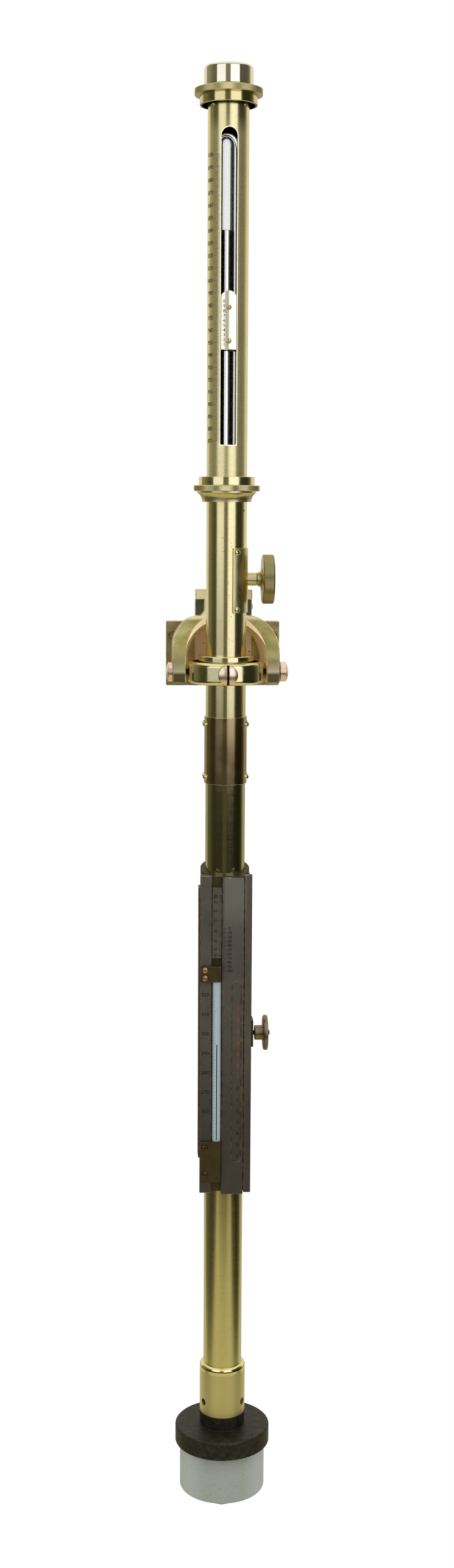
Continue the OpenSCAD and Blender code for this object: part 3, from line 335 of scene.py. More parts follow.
# Filed cast brass: olive, with blotches of 10 mm and groups of dark casting pits. The opening's inner face
# and the top carry painted light, made pale and less metallic, the upper part of the feet carries a painted
# highlight, and the feet's lower faces carry painted shade.
arm_brass, tree, shader, here = surface("filed_cast_brass")
skin = mottled(tree, here, 0.010, 4.0, "#A69C60", "#C4BA80", between=(0.35, 0.65))[1]
pits = add(tree, "TexVoronoi", {0: here, "Scale": 1 / 0.0042, "Randomness": 1.0})
where = add(tree, "TexNoise", {0: here, "Scale": 1 / 0.012})
few = add(tree, "MapRange", {0: where.outputs[0], 1: 0.55, 2: 0.62, 3: 0.02, 4: 0.13})
hole = add(tree, "Math", {0: pits.outputs["Distance"], 1: few.outputs[0]}, operation="LESS_THAN")
skin = add(tree, "Mix", {0: hole.outputs[0], 6: skin, 7: linear("#1E1A10")}, data_type="RGBA")
level = add(tree, "SeparateXYZ", {0: here})
# Painted highlight along the upper part of the feet, then painted shade on their lower faces.
skin = tinted(tree, level.outputs[2], *FEET_EDGE, skin.outputs[2], "#E2DAA6")
skin = tinted(tree, level.outputs[2], *FEET, skin, "#6C6740")
over = add(tree, "Math", {0: level.outputs[2], 1: ARCH_Z}, operation="SUBTRACT")
over = add(tree, "Math", {0: over.outputs[0], 1: 0.0}, operation="MAXIMUM")
apart = add(tree, "CombineXYZ", {0: level.outputs[0], 2: over.outputs[0]})
apart = add(tree, "VectorMath", {0: apart.outputs[0]}, operation="LENGTH")
# Painted light on the opening's inner face, which the lamps barely reach.
inside = add(tree, "MapRange", {0: apart.outputs["Value"], 1: ARCH_R + 0.0001, 2: ARCH_R})
skin = add(tree, "Mix", {0: inside.outputs[0], 6: skin, 7: linear("#F8DDA8")}, data_type="RGBA")
# Painted light on the arm's top.
high = add(tree, "MapRange", {0: level.outputs[2], 1: ARM_TOP[0], 2: ARM_TOP[1]})
skin = add(tree, "Mix", {0: high.outputs[0], 6: skin.outputs[2], 7: linear("#F2E8B8")}, data_type="RGBA")
metal_share = add(tree, "Math", {0: inside.outputs[0], 1: high.outputs[0]}, operation="MAXIMUM")
metal_share = add(tree, "MapRange", {0: metal_share.outputs[0], 3: 1.0, 4: 0.15})
filed = tool_lines(tree, here, (300.0, 300.0, 2200.0), 2.0, tilt=0.35)
dull = add(tree, "MapRange", {0: filed, 1: 0.3, 2: 0.7, 3: 0.40, 4: 0.52})
rough = add(tree, "Bump", {"Strength": 0.25, "Distance": 0.0001, "Height": filed})
fill(tree, shader, {"Base Color": skin.outputs[2], "Metallic": metal_share.outputs[0],
                    "Roughness": dull.outputs[0], "Normal": rough.outputs[0]})
machined("suspension_arm", "arm", [arm_brass, worn_brass], 0.0004)
machined("arm_pivot_screws", "arm", [screw_copper], 0.0003)

# Gimbal: a turned and polished brass ring between the arm's feet. Two more copper-coloured
# screws, in front and behind, carry the tube's collar.

# Polished brass: pale and clear, with smears of 12 mm and the faintest turning lines.
polished_brass, tree, shader, here = surface("polished_brass")
smear, skin = mottled(tree, here, 0.012, 3.0, "#E2D69C", "#EEE4AC")
dull = add(tree, "MapRange", {0: smear, 1: 0.35, 2: 0.7, 3: 0.11, 4: 0.19})
turning = tool_lines(tree, here, (60.0, 60.0, 3500.0), 2.0)
rough = add(tree, "Bump", {"Strength": 0.05, "Distance": 0.00005, "Height": turning})
fill(tree, shader, {"Base Color": skin, "Roughness": dull.outputs[0], "Normal": rough.outputs[0]})
machined("gimbal_ring", "gimbal", [polished_brass], 0.0003, turned=True, rim=0.0028)
machined("ring_pivot_screws", "gimbal", [screw_copper], 0.0003)

# Barometer tube: drawn brass, hand finished and once lacquered, slotted front and back at the top.
# Above the scale's collar it is satin, below it bright, and under the scales it is satin again.

TUBE_R = 0.0125

# Drawn brass: golden, with clouds of 18 mm, dark specks under 1 mm and the fine rings of its hand
# finishing in a lathe. The bore is darkened with painted shade.
BORE = (0.0119, 0.0116)  # distances from the axis between which it darkens
SLOTTED, TOPMOST = (0.100, 0.112), (0.314, 0.324)  # heights at which the lacquer's haze comes and goes
tube_brass, tree, shader, here = surface("drawn_brass_tube")
skin = mottled(tree, here, 0.018, 4.0, "#DCD294", "#EAE0A2")[1]
speck = add(tree, "TexNoise", {0: here, "Scale": 1 / 0.0009, "Detail": 1.0})
skin = tinted(tree, speck.outputs[0], 0.70, 0.76, skin, "#5A522C", most=0.6)
# Painted shade inside the bore.
skin = tinted(tree, off_axis(tree, here)[1], *BORE, skin, "#332F1E")
height = add(tree, "SeparateXYZ", {0: here})
slotted = add(tree, "MapRange", {0: height.outputs[2], 1: SLOTTED[0], 2: SLOTTED[1], 3: 1.0, 4: 0.85})
topmost = add(tree, "MapRange", {0: height.outputs[2], 1: TOPMOST[0], 2: TOPMOST[1], 3: 0.0, 4: 0.14})
metal_share = add(tree, "Math", {0: slotted.outputs[0], 1: topmost.outputs[0]}, operation="ADD")
drawn = tool_lines(tree, here, (120.0, 120.0, 2600.0), 3.0)
dull = add(tree, "MapRange", {0: drawn, 1: 0.3, 2: 0.7, 3: -0.02, 4: 0.03})

# Two heights, and the roughness that the tube has from this change at the first and at the second.
for start, end, before, after in ((0.0995, 0.1095, 0.19, 0.27), (0.312, 0.327, 0.0, -0.06),
                                  (-0.055, -0.085, 0.0, -0.07), (-0.200, -0.300, 0.0, 0.07)):
    part = add(tree, "MapRange", {0: height.outputs[2], 1: start, 2: end, 3: before, 4: after})
    dull = add(tree, "Math", {0: dull.outputs[0], 1: part.outputs[0]}, operation="ADD")
rough = add(tree, "Bump", {"Strength": 0.03, "Distance": 0.00005, "Height": drawn})
fill(tree, shader, {"Base Color": skin, "Metallic": metal_share.outputs[0], "Roughness": dull.outputs[0],
                    "Normal": rough.outputs[0]})

# The slots' edges carry a painted highlight: a pale, mostly matt colour that stands in for the soft boxes'
# reflection in their rounded edges.
painted_slot_highlight = surface("slot_rim_painted_highlight", {"Metallic": 0.25, "Roughness": 0.5,
                                       "Base Color": linear("#FFFBE0")})[0]
machined("body_tube", "barometer", [tube_brass, painted_slot_highlight], 0.0006, turned=True)

# Tube fittings: turned brass, screwed or soldered to the tube. The cap, the collar in the gimbal
# and the plain ring are polished, and the two knurled rings are left satin at their rims.

machined("gimbal_collar", "barometer", [polished_brass], 0.0002, turned=True, rim=0.0009)

# The cap is silvery where its lacquer has kept the metal clean.
cap_brass, tree, shader, here = surface("clean_cap_brass", {"Metallic": 0.94, "Roughness": 0.09})
skin = mottled(tree, here, 0.012, 3.0, "#ECE4BE", "#F6EFD0")[1]
fill(tree, shader, {"Base Color": skin})
machined("top_cap", "barometer", [cap_brass], 0.0001, turned=True)
machined("top_pegs", "barometer", [polished_brass], 0.0001)
machined("scale_ring", "barometer", [polished_brass], 0.0003, turned=True)


def spun(name, outline, columns, place, finish, knurl=0.0):
    """A turned ring or knob. Its outline, as radius and height, is spun in that many columns, and every
    second column of the rim is pressed in by the knurl's depth. place puts its axis in the barometer."""
    bm = bmesh.new()
    points = [bm.verts.new((r, 0.0, z)) for r, z in outline]
    sides = [bm.edges.new(pair) for pair in zip(points, points[1:] + points[:1])]
    bmesh.ops.spin(bm, geom=points + sides, cent=(0, 0, 0), axis=(0, 0, 1), dvec=(0, 0, 0),
                   angle=2 * math.pi, steps=columns, use_merge=True, use_duplicate=False)
    rim = max(r for r, z in outline) if knurl else math.inf
    for point in bm.verts:
        r = math.hypot(point.co.x, point.co.y)
        column = round(math.atan2(point.co.y, point.co.x) / (2 * math.pi / columns))
        if r > rim - 1e-6 and column % 2:
            point.co.x *= 1 - knurl / r
            point.co.y *= 1 - knurl / r
    bmesh.ops.remove_doubles(bm, verts=bm.verts, dist=1e-6)
    bmesh.ops.delete(bm, geom=[e for e in bm.edges if not e.link_faces], context="EDGES")
    bmesh.ops.recalc_face_normals(bm, faces=bm.faces)
    bm.edges.index_update()
    ridges = [e.index for e in bm.edges if (e.verts[0].co - e.verts[1].co).xy.length < 1e-6
              and e.verts[0].co.xy.length > rim - 2 * knurl - 1e-6]
    bmesh.ops.transform(bm, matrix=place, verts=bm.verts)
    piece = piece_from(name, bm, finish)
    piece.data.shade_smooth()
    piece.data.set_sharp_from_angle(angle=math.radians(30))
    for i in ridges:
        piece.data.edges[i].use_edge_sharp = True
    return piece


# The flange's rim is dulled by its knurl, and its skirt is polished outside and darkened inside with painted
# shade.
FLANGE_TOP, FLANGE_FOOT, SKIRT_FOOT = 0.3408, 0.3370, 0.3313
FLANGE_R, SKIRT_R, SKIRT_IN = 0.0205, 0.0174, 0.0161
EASE = 0.0003
KNURL = 0.00009  # depth of the fine straight knurls on both rings
on_axis = Matrix.Translation((0, AXIS_Y, 0))
flange_brass, tree, shader, here = surface("knurled_flange_brass")
height = add(tree, "SeparateXYZ", {0: here})
rimmed = add(tree, "MapRange", {0: height.outputs[2], 1: FLANGE_FOOT - 0.0002, 2: FLANGE_FOOT + 0.0001})
outside = add(tree, "MapRange", {0: off_axis(tree, here)[1], 1: SKIRT_R - 0.0004, 2: SKIRT_R - 0.0002})
# Inside the skirt, below the flange, the brass is darkened with painted shade.
bright = add(tree, "Math", {0: rimmed.outputs[0], 1: outside.outputs[0]}, operation="MAXIMUM")
skin = add(tree, "Mix", {0: bright.outputs[0], 6: linear("#4A4030"), 7: linear("#D8CC8C")}, data_type="RGBA")
dull = add(tree, "MapRange", {0: rimmed.outputs[0], 3: 0.13, 4: 0.38})
fill(tree, shader, {"Base Color": skin.outputs[2], "Roughness": dull.outputs[0]})
flange = spun("knurled_top_flange",
              [(TUBE_R, FLANGE_TOP), (TUBE_R, FLANGE_FOOT), (SKIRT_IN, FLANGE_FOOT), (SKIRT_IN, SKIRT_FOOT),
               (SKIRT_R - EASE, SKIRT_FOOT), (SKIRT_R, SKIRT_FOOT + EASE), (SKIRT_R, FLANGE_FOOT),
               (FLANGE_R - EASE, FLANGE_FOOT), (FLANGE_R, FLANGE_FOOT + EASE),
               (FLANGE_R, FLANGE_TOP - EASE), (FLANGE_R - EASE, FLANGE_TOP)],
              400, on_axis, flange_brass, KNURL)
stand_in(flange, "top_flange", "barometer")

# Satin turned brass of the knurled collar: yellow, with clouds of 10 mm and a soft shine. A cove runs
# up from the collar's foot to its rim.
satin_brass, tree, shader, here = surface("satin_turned_brass")
cloud, skin = mottled(tree, here, 0.010, 3.0, "#D2C68A", "#E2D89C")
dull = add(tree, "MapRange", {0: cloud, 1: 0.3, 2: 0.7, 3: 0.26, 4: 0.38})
fill(tree, shader, {"Base Color": skin, "Roughness": dull.outputs[0]})
COLLAR_TOP, RIM_FOOT, COLLAR_FOOT = 0.1068, 0.1033, 0.0967
COLLAR_R, COVE_IN, COVE_OUT = 0.0204, 0.0154, 0.0183
collar = spun("knurled_scale_collar",
              [(TUBE_R, COLLAR_TOP), (TUBE_R, COLLAR_FOOT), (COVE_IN, COLLAR_FOOT), (COVE_IN, 0.0973),
               (0.0155, 0.0984), (0.0158, 0.0996), (0.0163, 0.1006), (0.0172, 0.1016), (COVE_OUT, 0.1023),
               (COVE_OUT, RIM_FOOT), (COLLAR_R - 0.0004, RIM_FOOT), (COLLAR_R, RIM_FOOT + EASE),
               (COLLAR_R, COLLAR_TOP - EASE), (COLLAR_R - 0.0004, COLLAR_TOP)],
              400, on_axis, satin_brass, KNURL)
stand_in(collar, "scale_collar", "barometer")

# Dark bronzed sleeve of thin brass round the tube, held by small screws: red-brown and glossy, in clouds
# of 12 mm. The curved plate above it, screwed on in the same way, guards the vernier shaft's hole.
sleeve_bronze, tree, shader, here = surface("bronzed_brass_sleeve")
cloud, skin = mottled(tree, here, 0.012, 4.0, "#B09A68", "#CBB682")
dull = add(tree, "MapRange", {0: cloud, 1: 0.3, 2: 0.7, 3: 0.13, 4: 0.20})
fill(tree, shader, {"Base Color": skin, "Roughness": dull.outputs[0]})
machined("name_sleeve", "barometer", [sleeve_bronze, worn_brass], 0.0002, turned=True)
machined("name_sleeve_screws", "barometer", [polished_brass], 0.0001)
machined("shaft_saddle", "barometer", [satin_brass], 0.0002, turned=True)
machined("saddle_screws", "barometer", [polished_brass], 0.0001)

# Pressure scale: millibar lines and numerals cut by a dividing engine in the tube, left of the
# slot, and filled with dark wax. Each line and numeral is a thin filling, bent round the tube.

# Old wax: dark brown, paler where it has worn, in patches of 2 mm.
filler, tree, shader, here = surface("dark_wax_in_engraving", {"Metallic": 0.0, "Roughness": 0.6})
skin = mottled(tree, here, 0.002, 2.0, "#2E2612", "#4E4420")[1]
fill(tree, shader, {"Base Color": skin})

PROUD = 0.00003  # fillings stand this much proud of the metal, and as much in it
CHORD = 0.0009  # a line is cut in pieces of this length, so that it can bend
FIGURE = 0.73  # height of the font's figures, for a size of 1


def cut_line(bm, x0, x1, z, width):
    """One engraved line across a flat scale that faces the front, from x0 to x1."""
    place = Matrix.Translation(((x0 + x1) / 2, 0, z)) @ Matrix.Diagonal((abs(x1 - x0), 2 * PROUD, width, 1))
    made = bmesh.ops.create_cube(bm, size=1.0, matrix=place)
    across = [e for e in {e for v in made["verts"] for e in v.link_edges}
              if abs(e.verts[0].co.x - e.verts[1].co.x) > 1e-6]
    if abs(x1 - x0) > CHORD:
        bmesh.ops.subdivide_edges(bm, edges=across, cuts=int(abs(x1 - x0) / CHORD))


def cut_figure(bm, text, height, x, z, align="CENTER"):
    """One engraved numeral of that height on a flat scale, at x and z."""
    curve = bpy.data.curves.new("numeral", "FONT")
    curve.body, curve.size, curve.extrude, curve.resolution_u = text, height / FIGURE, PROUD, 2
    curve.align_x, curve.align_y = align, "CENTER"
    curve.offset = 0.02 * height
    numeral = bpy.data.objects.new("numeral", curve)
    mesh = bpy.data.meshes.new_from_object(numeral)
    mesh.transform(Matrix.Translation((x, 0, z)) @ Matrix.Rotation(math.pi / 2, 4, "X"))
    bm.from_mesh(mesh)
    bpy.data.objects.remove(numeral)
    bpy.data.curves.remove(curve)
    bpy.data.meshes.remove(mesh)


def engraving(name, bm, move, finish, body):
    """The finished engraving of a scale, moved onto its surface by the function."""
    for point in bm.verts:
        point.co = move(point.co)
    piece = piece_from(name, bm, finish)
    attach(piece, body)


def around(radius, x=0.0, y=AXIS_Y):
    """Wraps a flat layout round an upright rod at x and y. The layout's own x is the arc from the front."""
    def wrapped(co):
        turn, out = co.x / radius, radius - co.y
        return Vector((x + out * math.sin(turn), y - out * math.cos(turn), co.z))
    return wrapped


def arc(x):
    """The arc on the tube at which a point that is x from the axis, seen from the front, lies."""
    return TUBE_R * math.asin(x / TUBE_R)


FIRST_MB, LAST_MB = 870, 1100
SCALE_FOOT, MILLIBAR = 0.1335, 0.000732  # the first line's height, and the step of one millibar
RULE_X, RULE_MIDDLE, RULE_H = -0.0071, 0.2177, 0.1684  # the upright line that the divisions start from
bm = bmesh.new()
for mb in range(FIRST_MB, LAST_MB + 1):
    z = SCALE_FOOT + MILLIBAR * (mb - FIRST_MB)
    reach = 0.0092 if mb % 10 == 0 else 0.0083 if mb % 5 == 0 else 0.0072
    cut_line(bm, arc(-0.0052), arc(-reach), z, 0.00013)
    if mb % 10 == 0:
        cut_figure(bm, str(mb), 0.0025, arc(-0.0095), z, align="RIGHT")
cut_line(bm, arc(RULE_X) - 0.00004, arc(RULE_X) + 0.00004, RULE_MIDDLE, RULE_H)
# A dark filling that paints the shade of a small hole under the collar.
cut_line(bm, arc(0.0099), arc(0.0106), 0.0915, 0.0012)  # a small dark hole under the collar
engraving("pressure_scale_engraving", bm, around(TUBE_R), filler, "barometer")

# Glass tube, drawn from soda glass and closed at the top by melting, with its mercury. Leather
# packings centre it in the brass, and a boxwood bush and a leather washer hold its foot.

# Soda glass is clear and colourless, and mercury is a liquid mirror with a slight haze.
clear_glass = surface("drawn_soda_glass", {"Metallic": 0.0, "Base Color": linear("#F3F5F3"),
                                           "Roughness": 0.0, "IOR": 1.5, "Transmission Weight": 1.0})[0]
mercury = surface("liquid_mercury", {"Base Color": linear("#DADCDF"), "Roughness": 0.03})[0]

# Oak-tanned leather: brown and matt, with a grain of 1.5 mm.
leather, tree, shader, here = surface("oak_tanned_leather", {"Metallic": 0.0, "Roughness": 0.8})
skin = mottled(tree, here, 0.0015, 4.0, "#5E3E22", "#A9794A")[1]
fill(tree, shader, {"Base Color": skin})

# Turned boxwood: close-grained and yellow-brown, its grain upright and 1 mm apart.
boxwood, tree, shader, here = surface("turned_boxwood", {"Metallic": 0.0, "Roughness": 0.5})
grain = tool_lines(tree, here, (900.0, 900.0, 60.0), 4.0)
skin = add(tree, "Mix", {0: grain, 6: linear("#8A6434"), 7: linear("#C79C5C")}, data_type="RGBA")
fill(tree, shader, {"Base Color": skin.outputs[2]})

for node, finish in (("upper_packing", leather), ("lower_packing", leather), ("tube_bush", boxwood),
                     ("cistern_washer", leather), ("cistern_mercury", mercury)):
    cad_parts[node].data.materials.clear()
    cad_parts[node].data.materials.append(finish)


def extent(node, axis):
    """The lowest and highest of a node's coordinates along one axis."""
    values = [v.co[axis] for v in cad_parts[node].data.vertices]
    return min(values), max(values)


def bend(r, z, wide, high, start, end, steps):
    """Points of a round stretch of an outline, as radius and height. They lie about r and z, as far out
    as wide and high say, from one angle to the other in degrees."""
    angles = [math.radians(start + (end - start) * i / steps) for i in range(steps + 1)]
    return [(r + wide * math.cos(a), z + high * math.sin(a)) for a in angles]


GLASS_X = -0.0012  # the glass stands a little left of the brass tube's axis
GLASS_R, BORE_R = 0.0063, 0.00345
glass_foot = extent("glass_tube", 2)[0]
glass = spun("drawn_glass_tube",
             [(GLASS_R, glass_foot)] + bend(0.0, 0.3052, GLASS_R, 0.0095, 0, 90, 8)
             + bend(0.0, 0.3078, BORE_R, 0.0048, 90, 0, 8) + [(BORE_R, glass_foot)],
             96, Matrix.Translation((GLASS_X, AXIS_Y, 0)), clear_glass)
stand_in(glass, "glass_tube", "barometer")
machined("mercury_column", "barometer", [mercury], 0.00005, turned=True)

# Vernier: a turned carrier that slides inside the tube, moved by its rack, with a curved and
# polished plate in the slot. Ten divisions are cut in the plate and filled.

VERNIER_TOP, VERNIER_STEP = 0.2161, 0.00282

# Clean vernier brass: pale, almost white where it is rubbed each day.
plate_metal = surface("clean_vernier_brass", {"Metallic": 0.75, "Roughness": 0.2,
                                              "Base Color": linear("#F8F3D6")})[0]
machined("vernier_carrier", "vernier", [satin_brass], 0.0001, turned=True)
machined("vernier_rack", "vernier", [satin_brass], 0.0001)
machined("vernier_plate", "vernier", [plate_metal, worn_brass], 0.0001, turned=True)
machined("vernier_screws", "vernier", [satin_brass], 0.0001)
bm = bmesh.new()
for i in range(11):
    cut_line(bm, -0.0046, -0.0038, VERNIER_TOP - VERNIER_STEP * (i - 1), 0.00014)
for i, figure in enumerate("0987654321"):
    cut_figure(bm, figure, 0.0019, -0.0028, VERNIER_TOP - VERNIER_STEP * i)
engraving("vernier_engraving", bm, around(TUBE_R + 0.0001), filler, "vernier")

# Vernier's drive: a pinion on a shaft through the tube, and a turned brass knob with a knurled
# rim and a coved hub. A flush nut holds the knob on the shaft.

SHAFT_R, SHAFT_Z = 0.0020, 0.0493
HUB_R, BOSS_R, HUB_X = 0.0068, 0.0040, 0.0190
KNOB_R, KNOB_X, KNOB_END = 0.0152, 0.0223, 0.0295
ROUND, ROUND_X = 0.0010, 0.0007  # how far the rim's rounded corner reaches, across and along the shaft

# Knob brass, dulled by fingers and darkest in the knurl, in clouds of 10 mm. Its faces are brighter.
knob_brass, tree, shader, here = surface("dulled_knob_brass", {"Roughness": 0.32})
skin = mottled(tree, here, 0.010, 3.0, "#968C5E", "#AEA26C")[1]
place = add(tree, "SeparateXYZ", {0: here})
across = add(tree, "Math", {0: place.outputs[1], 1: -AXIS_Y}, operation="ADD")
up = add(tree, "Math", {0: place.outputs[2], 1: -SHAFT_Z}, operation="ADD")
flat = add(tree, "CombineXYZ", {1: across.outputs[0], 2: up.outputs[0]})
away = add(tree, "VectorMath", {0: flat.outputs[0]}, operation="LENGTH")
skin = tinted(tree, away.outputs["Value"], KNOB_R - 0.0005, KNOB_R - 0.0007, skin, "#BDB078")
fill(tree, shader, {"Base Color": skin})

machined("vernier_pinion", "vernier_drive", [screw_copper], 0.0001)
along_x = Matrix.Translation((0, AXIS_Y, SHAFT_Z)) @ Matrix.Rotation(math.pi / 2, 4, "Y")
knob = spun("knurled_vernier_knob",
            [(SHAFT_R, HUB_X), (BOSS_R, HUB_X), (0.0041, 0.0198), (0.0045, 0.0206), (0.0051, 0.0213),
             (0.0059, 0.0217), (HUB_R, 0.0218), (HUB_R, KNOB_X), (KNOB_R - ROUND, KNOB_X),
             (KNOB_R - 0.0004, KNOB_X + 0.0002), (KNOB_R, KNOB_X + ROUND_X), (KNOB_R, KNOB_END - ROUND_X),
             (KNOB_R - 0.0004, KNOB_END - 0.0002), (KNOB_R - ROUND, KNOB_END), (SHAFT_R, KNOB_END)],
            280, along_x, knob_brass, 0.0001)
stand_in(knob, "vernier_knob", "vernier_drive")
nut = spun("flush_knob_nut", [(0.0, 0.0292), (0.0033, 0.0292), (0.0033, 0.0296), (0.0030, 0.0298),
                              (0.0, 0.0299)], 48, along_x, satin_brass)
stand_in(nut, "vernier_knob_nut", "vernier_drive")

# Correction scales: a milled body clamped round the tube, with two fixed strips, a side cover and a
# thermometer under two clamps. The plates are chemically darkened brass, worn to copper at the edges.

# Darkened scale brass: grey-brown and matt, with clouds of 10 mm and a fine etched grain. The slide's
# upper end is greyer, and all the plates are darker at the lower end.
UPPER_END, LOWER_END = (-0.176, -0.152), (-0.240, -0.285)
SLIDE_SIDES = ((-0.0015, -0.0010), (0.0128, 0.0123))
scale_plate, tree, shader, here = surface("darkened_scale_brass", {"Metallic": 0.6, "Roughness": 0.55})
skin = mottled(tree, here, 0.010, 4.0, "#4B463B", "#655F52")[1]
place = add(tree, "SeparateXYZ", {0: here})
share = add(tree, "MapRange", {0: place.outputs[2], 1: UPPER_END[0], 2: UPPER_END[1], 4: 0.7})
for start, end in SLIDE_SIDES:
    side = add(tree, "MapRange", {0: place.outputs[0], 1: start, 2: end})
    share = add(tree, "Math", {0: share.outputs[0], 1: side.outputs[0]}, operation="MULTIPLY")
skin = add(tree, "Mix", {0: share.outputs[0], 6: skin, 7: linear("#75766A")}, data_type="RGBA")
skin = tinted(tree, place.outputs[2], *LOWER_END, skin.outputs[2], "#39352B", most=0.6)
fine = add(tree, "TexNoise", {0: here, "Scale": 1 / 0.0004, "Detail": 2.0})
rough = add(tree, "Bump", {"Strength": 0.3, "Distance": 0.00005, "Height": fine.outputs[0]})
fill(tree, shader, {"Base Color": skin, "Normal": rough.outputs[0]})

# The plates' edges, rubbed through to copper-coloured metal in patches of 4 mm.
copper_edge, tree, shader, here = surface("plate_edge_worn_to_copper", {"Roughness": 0.4})
skin = mottled(tree, here, 0.004, 3.0, "#6E6252", "#D9A98A", between=(0.42, 0.62))[1]
fill(tree, shader, {"Base Color": skin})

# Browned brass of the body, clamps and shafts: dark and dull, in clouds of 6 mm.
brown_brass, tree, shader, here = surface("browned_brass", {"Metallic": 0.8, "Roughness": 0.5})
skin = mottled(tree, here, 0.006, 4.0, "#40371F", "#5C502E")[1]
fill(tree, shader, {"Base Color": skin})

for node in ("left_strip", "right_strip"):
    machined(node, "barometer", [scale_plate, copper_edge], 0.0002)
machined("scale_body", "barometer", [brown_brass], 0.0002)

# The clamp's band slopes: it is high behind the tube, and comes down to the body at the sides.
BAND_IN, BAND_OUT, BAND_FOOT, BAND_TOP = TUBE_R + 0.00005, 0.0155, -0.1385, -0.1296
SLOPE, SLOPE_Z, SLOPE_Y = 0.24, -0.1359, -0.0110  # the band's top has the height SLOPE_Z at SLOPE_Y
band = spun("clamp_band", [(BAND_IN, BAND_FOOT), (BAND_OUT, BAND_FOOT), (BAND_OUT, BAND_TOP - EASE),
                           (BAND_OUT - EASE, BAND_TOP), (BAND_IN, BAND_TOP)], 96, on_axis, brown_brass)
for point in band.data.vertices:
    if point.co.z > BAND_FOOT + 0.0035:
        point.co.z = min(SLOPE_Z + SLOPE * (point.co.y - AXIS_Y - SLOPE_Y), BAND_TOP)
stand_in(band, "body_clamp", "barometer")

machined("side_cover", "barometer", [scale_plate, copper_edge], 0.0002)
machined("slide_boss", "barometer", [brown_brass], 0.0003)
for node in ("upper_clamp", "lower_clamp"):
    machined(node, "barometer", [brown_brass], 0.0004)

# Clamp screws of turned brass: the upper pair is copper coloured, and the lower pair has gone brown.
BETWEEN_PAIRS = (-0.240, -0.260)
clamp_screw, tree, shader, here = surface("clamp_screw_brass", {"Roughness": 0.35})
height = add(tree, "SeparateXYZ", {0: here})
skin = tinted(tree, height.outputs[2], *BETWEEN_PAIRS, linear("#B8946A"), "#5E5138")
fill(tree, shader, {"Base Color": skin})
machined("clamp_screws", "barometer", [clamp_screw], 0.0001)

# Thermometer: a stem of opal glass with its dark thread, held by the clamps. Its degrees are
# etched on the stem and filled, and its figures are cut in the left strip.

stem_left, stem_right = extent("thermometer_stem", 0)
STEM_R = (stem_right - stem_left) / 2
STEM_X = (stem_left + stem_right) / 2
STEM_Y = extent("thermometer_stem", 1)[0] + STEM_R
STEM_TOP, DEGREE, TEN_DEGREES = -0.2110, 0.00212, 0.01273  # the first mark, and the steps below it
THREAD_MIDDLE, THREAD_H = -0.2750, 0.0628  # the part of the thread that is seen between the clamps
INDEX_TOP, INDEX_STEP = -0.1628, 0.00166
LEFT_FACE = 0.0206  # from the barometer's axis to the front of the left strip

# Opal glass is milky and glossy. The thread in it and the wax in the plates are black and dull.
opal = surface("opal_glass", {"Metallic": 0.0, "Roughness": 0.15, "Base Color": linear("#98A4A6")})[0]
thread = surface("dark_thread", {"Metallic": 0.0, "Roughness": 0.5, "Base Color": linear("#0C1112")})[0]
black_filler = surface("black_wax_in_engraving", {"Metallic": 0.0, "Roughness": 0.7,
                                                  "Base Color": linear("#0C0A07")})[0]
machined("thermometer_stem", "barometer", [opal], 0.0001)
machined("thermometer_thread", "barometer", [thread], 0.00003)


def in_front(distance):
    """Moves a flat layout onto a flat face, at that distance in front of the barometer's axis."""
    return lambda co: Vector((co.x, AXIS_Y - distance + co.y, co.z))


bm = bmesh.new()
for i in range(45):  # degree marks, every fifth longer
    cut_line(bm, -0.0026, -0.0012 if i % 5 else -0.0004, STEM_TOP - DEGREE * i, 0.00012)
engraving("stem_marks", bm, around(STEM_R, STEM_X, STEM_Y), filler, "barometer")
bm = bmesh.new()
cut_line(bm, -0.00030, 0.00030, THREAD_MIDDLE, THREAD_H)
engraving("thread_seen_through_stem", bm, around(STEM_R, STEM_X, STEM_Y), thread, "barometer")

bm = bmesh.new()
for i, figure in enumerate(("320", "310", "300", "290", "280", "270", "260")):
    cut_figure(bm, figure, 0.0024, -0.0131, STEM_TOP - TEN_DEGREES * i)
for i in range(9):  # the index by the latitude plate
    cut_line(bm, -0.0120 if i % 2 == 0 else -0.0112, -0.0094, INDEX_TOP - INDEX_STEP * i, 0.00020)
engraving("left_strip_engraving", bm, in_front(LEFT_FACE), black_filler, "barometer")

# Moving correction slide: a plate of the same darkened brass, with height figures, and correction
# figures in a sunk recess, red over black. A rack on its back and a knurled knob drive it.

HEIGHT_TOP, HEIGHT_STEP = -0.1683, 0.000546  # the zero of the height scale, and its step of two
ZERO_Z, FIGURE_STEP = -0.27276, 0.00748  # the zero of the recess, and its step of one
TENTHS_TOP, TENTH = -0.2184, 0.00074
SLIDE_FACE, RECESS_FACE = 0.0204, 0.0197  # from the barometer's axis to the two faces
slide_left = extent("correction_slide", 0)[0] + 0.0001
recess_x = slide_left + 0.0102

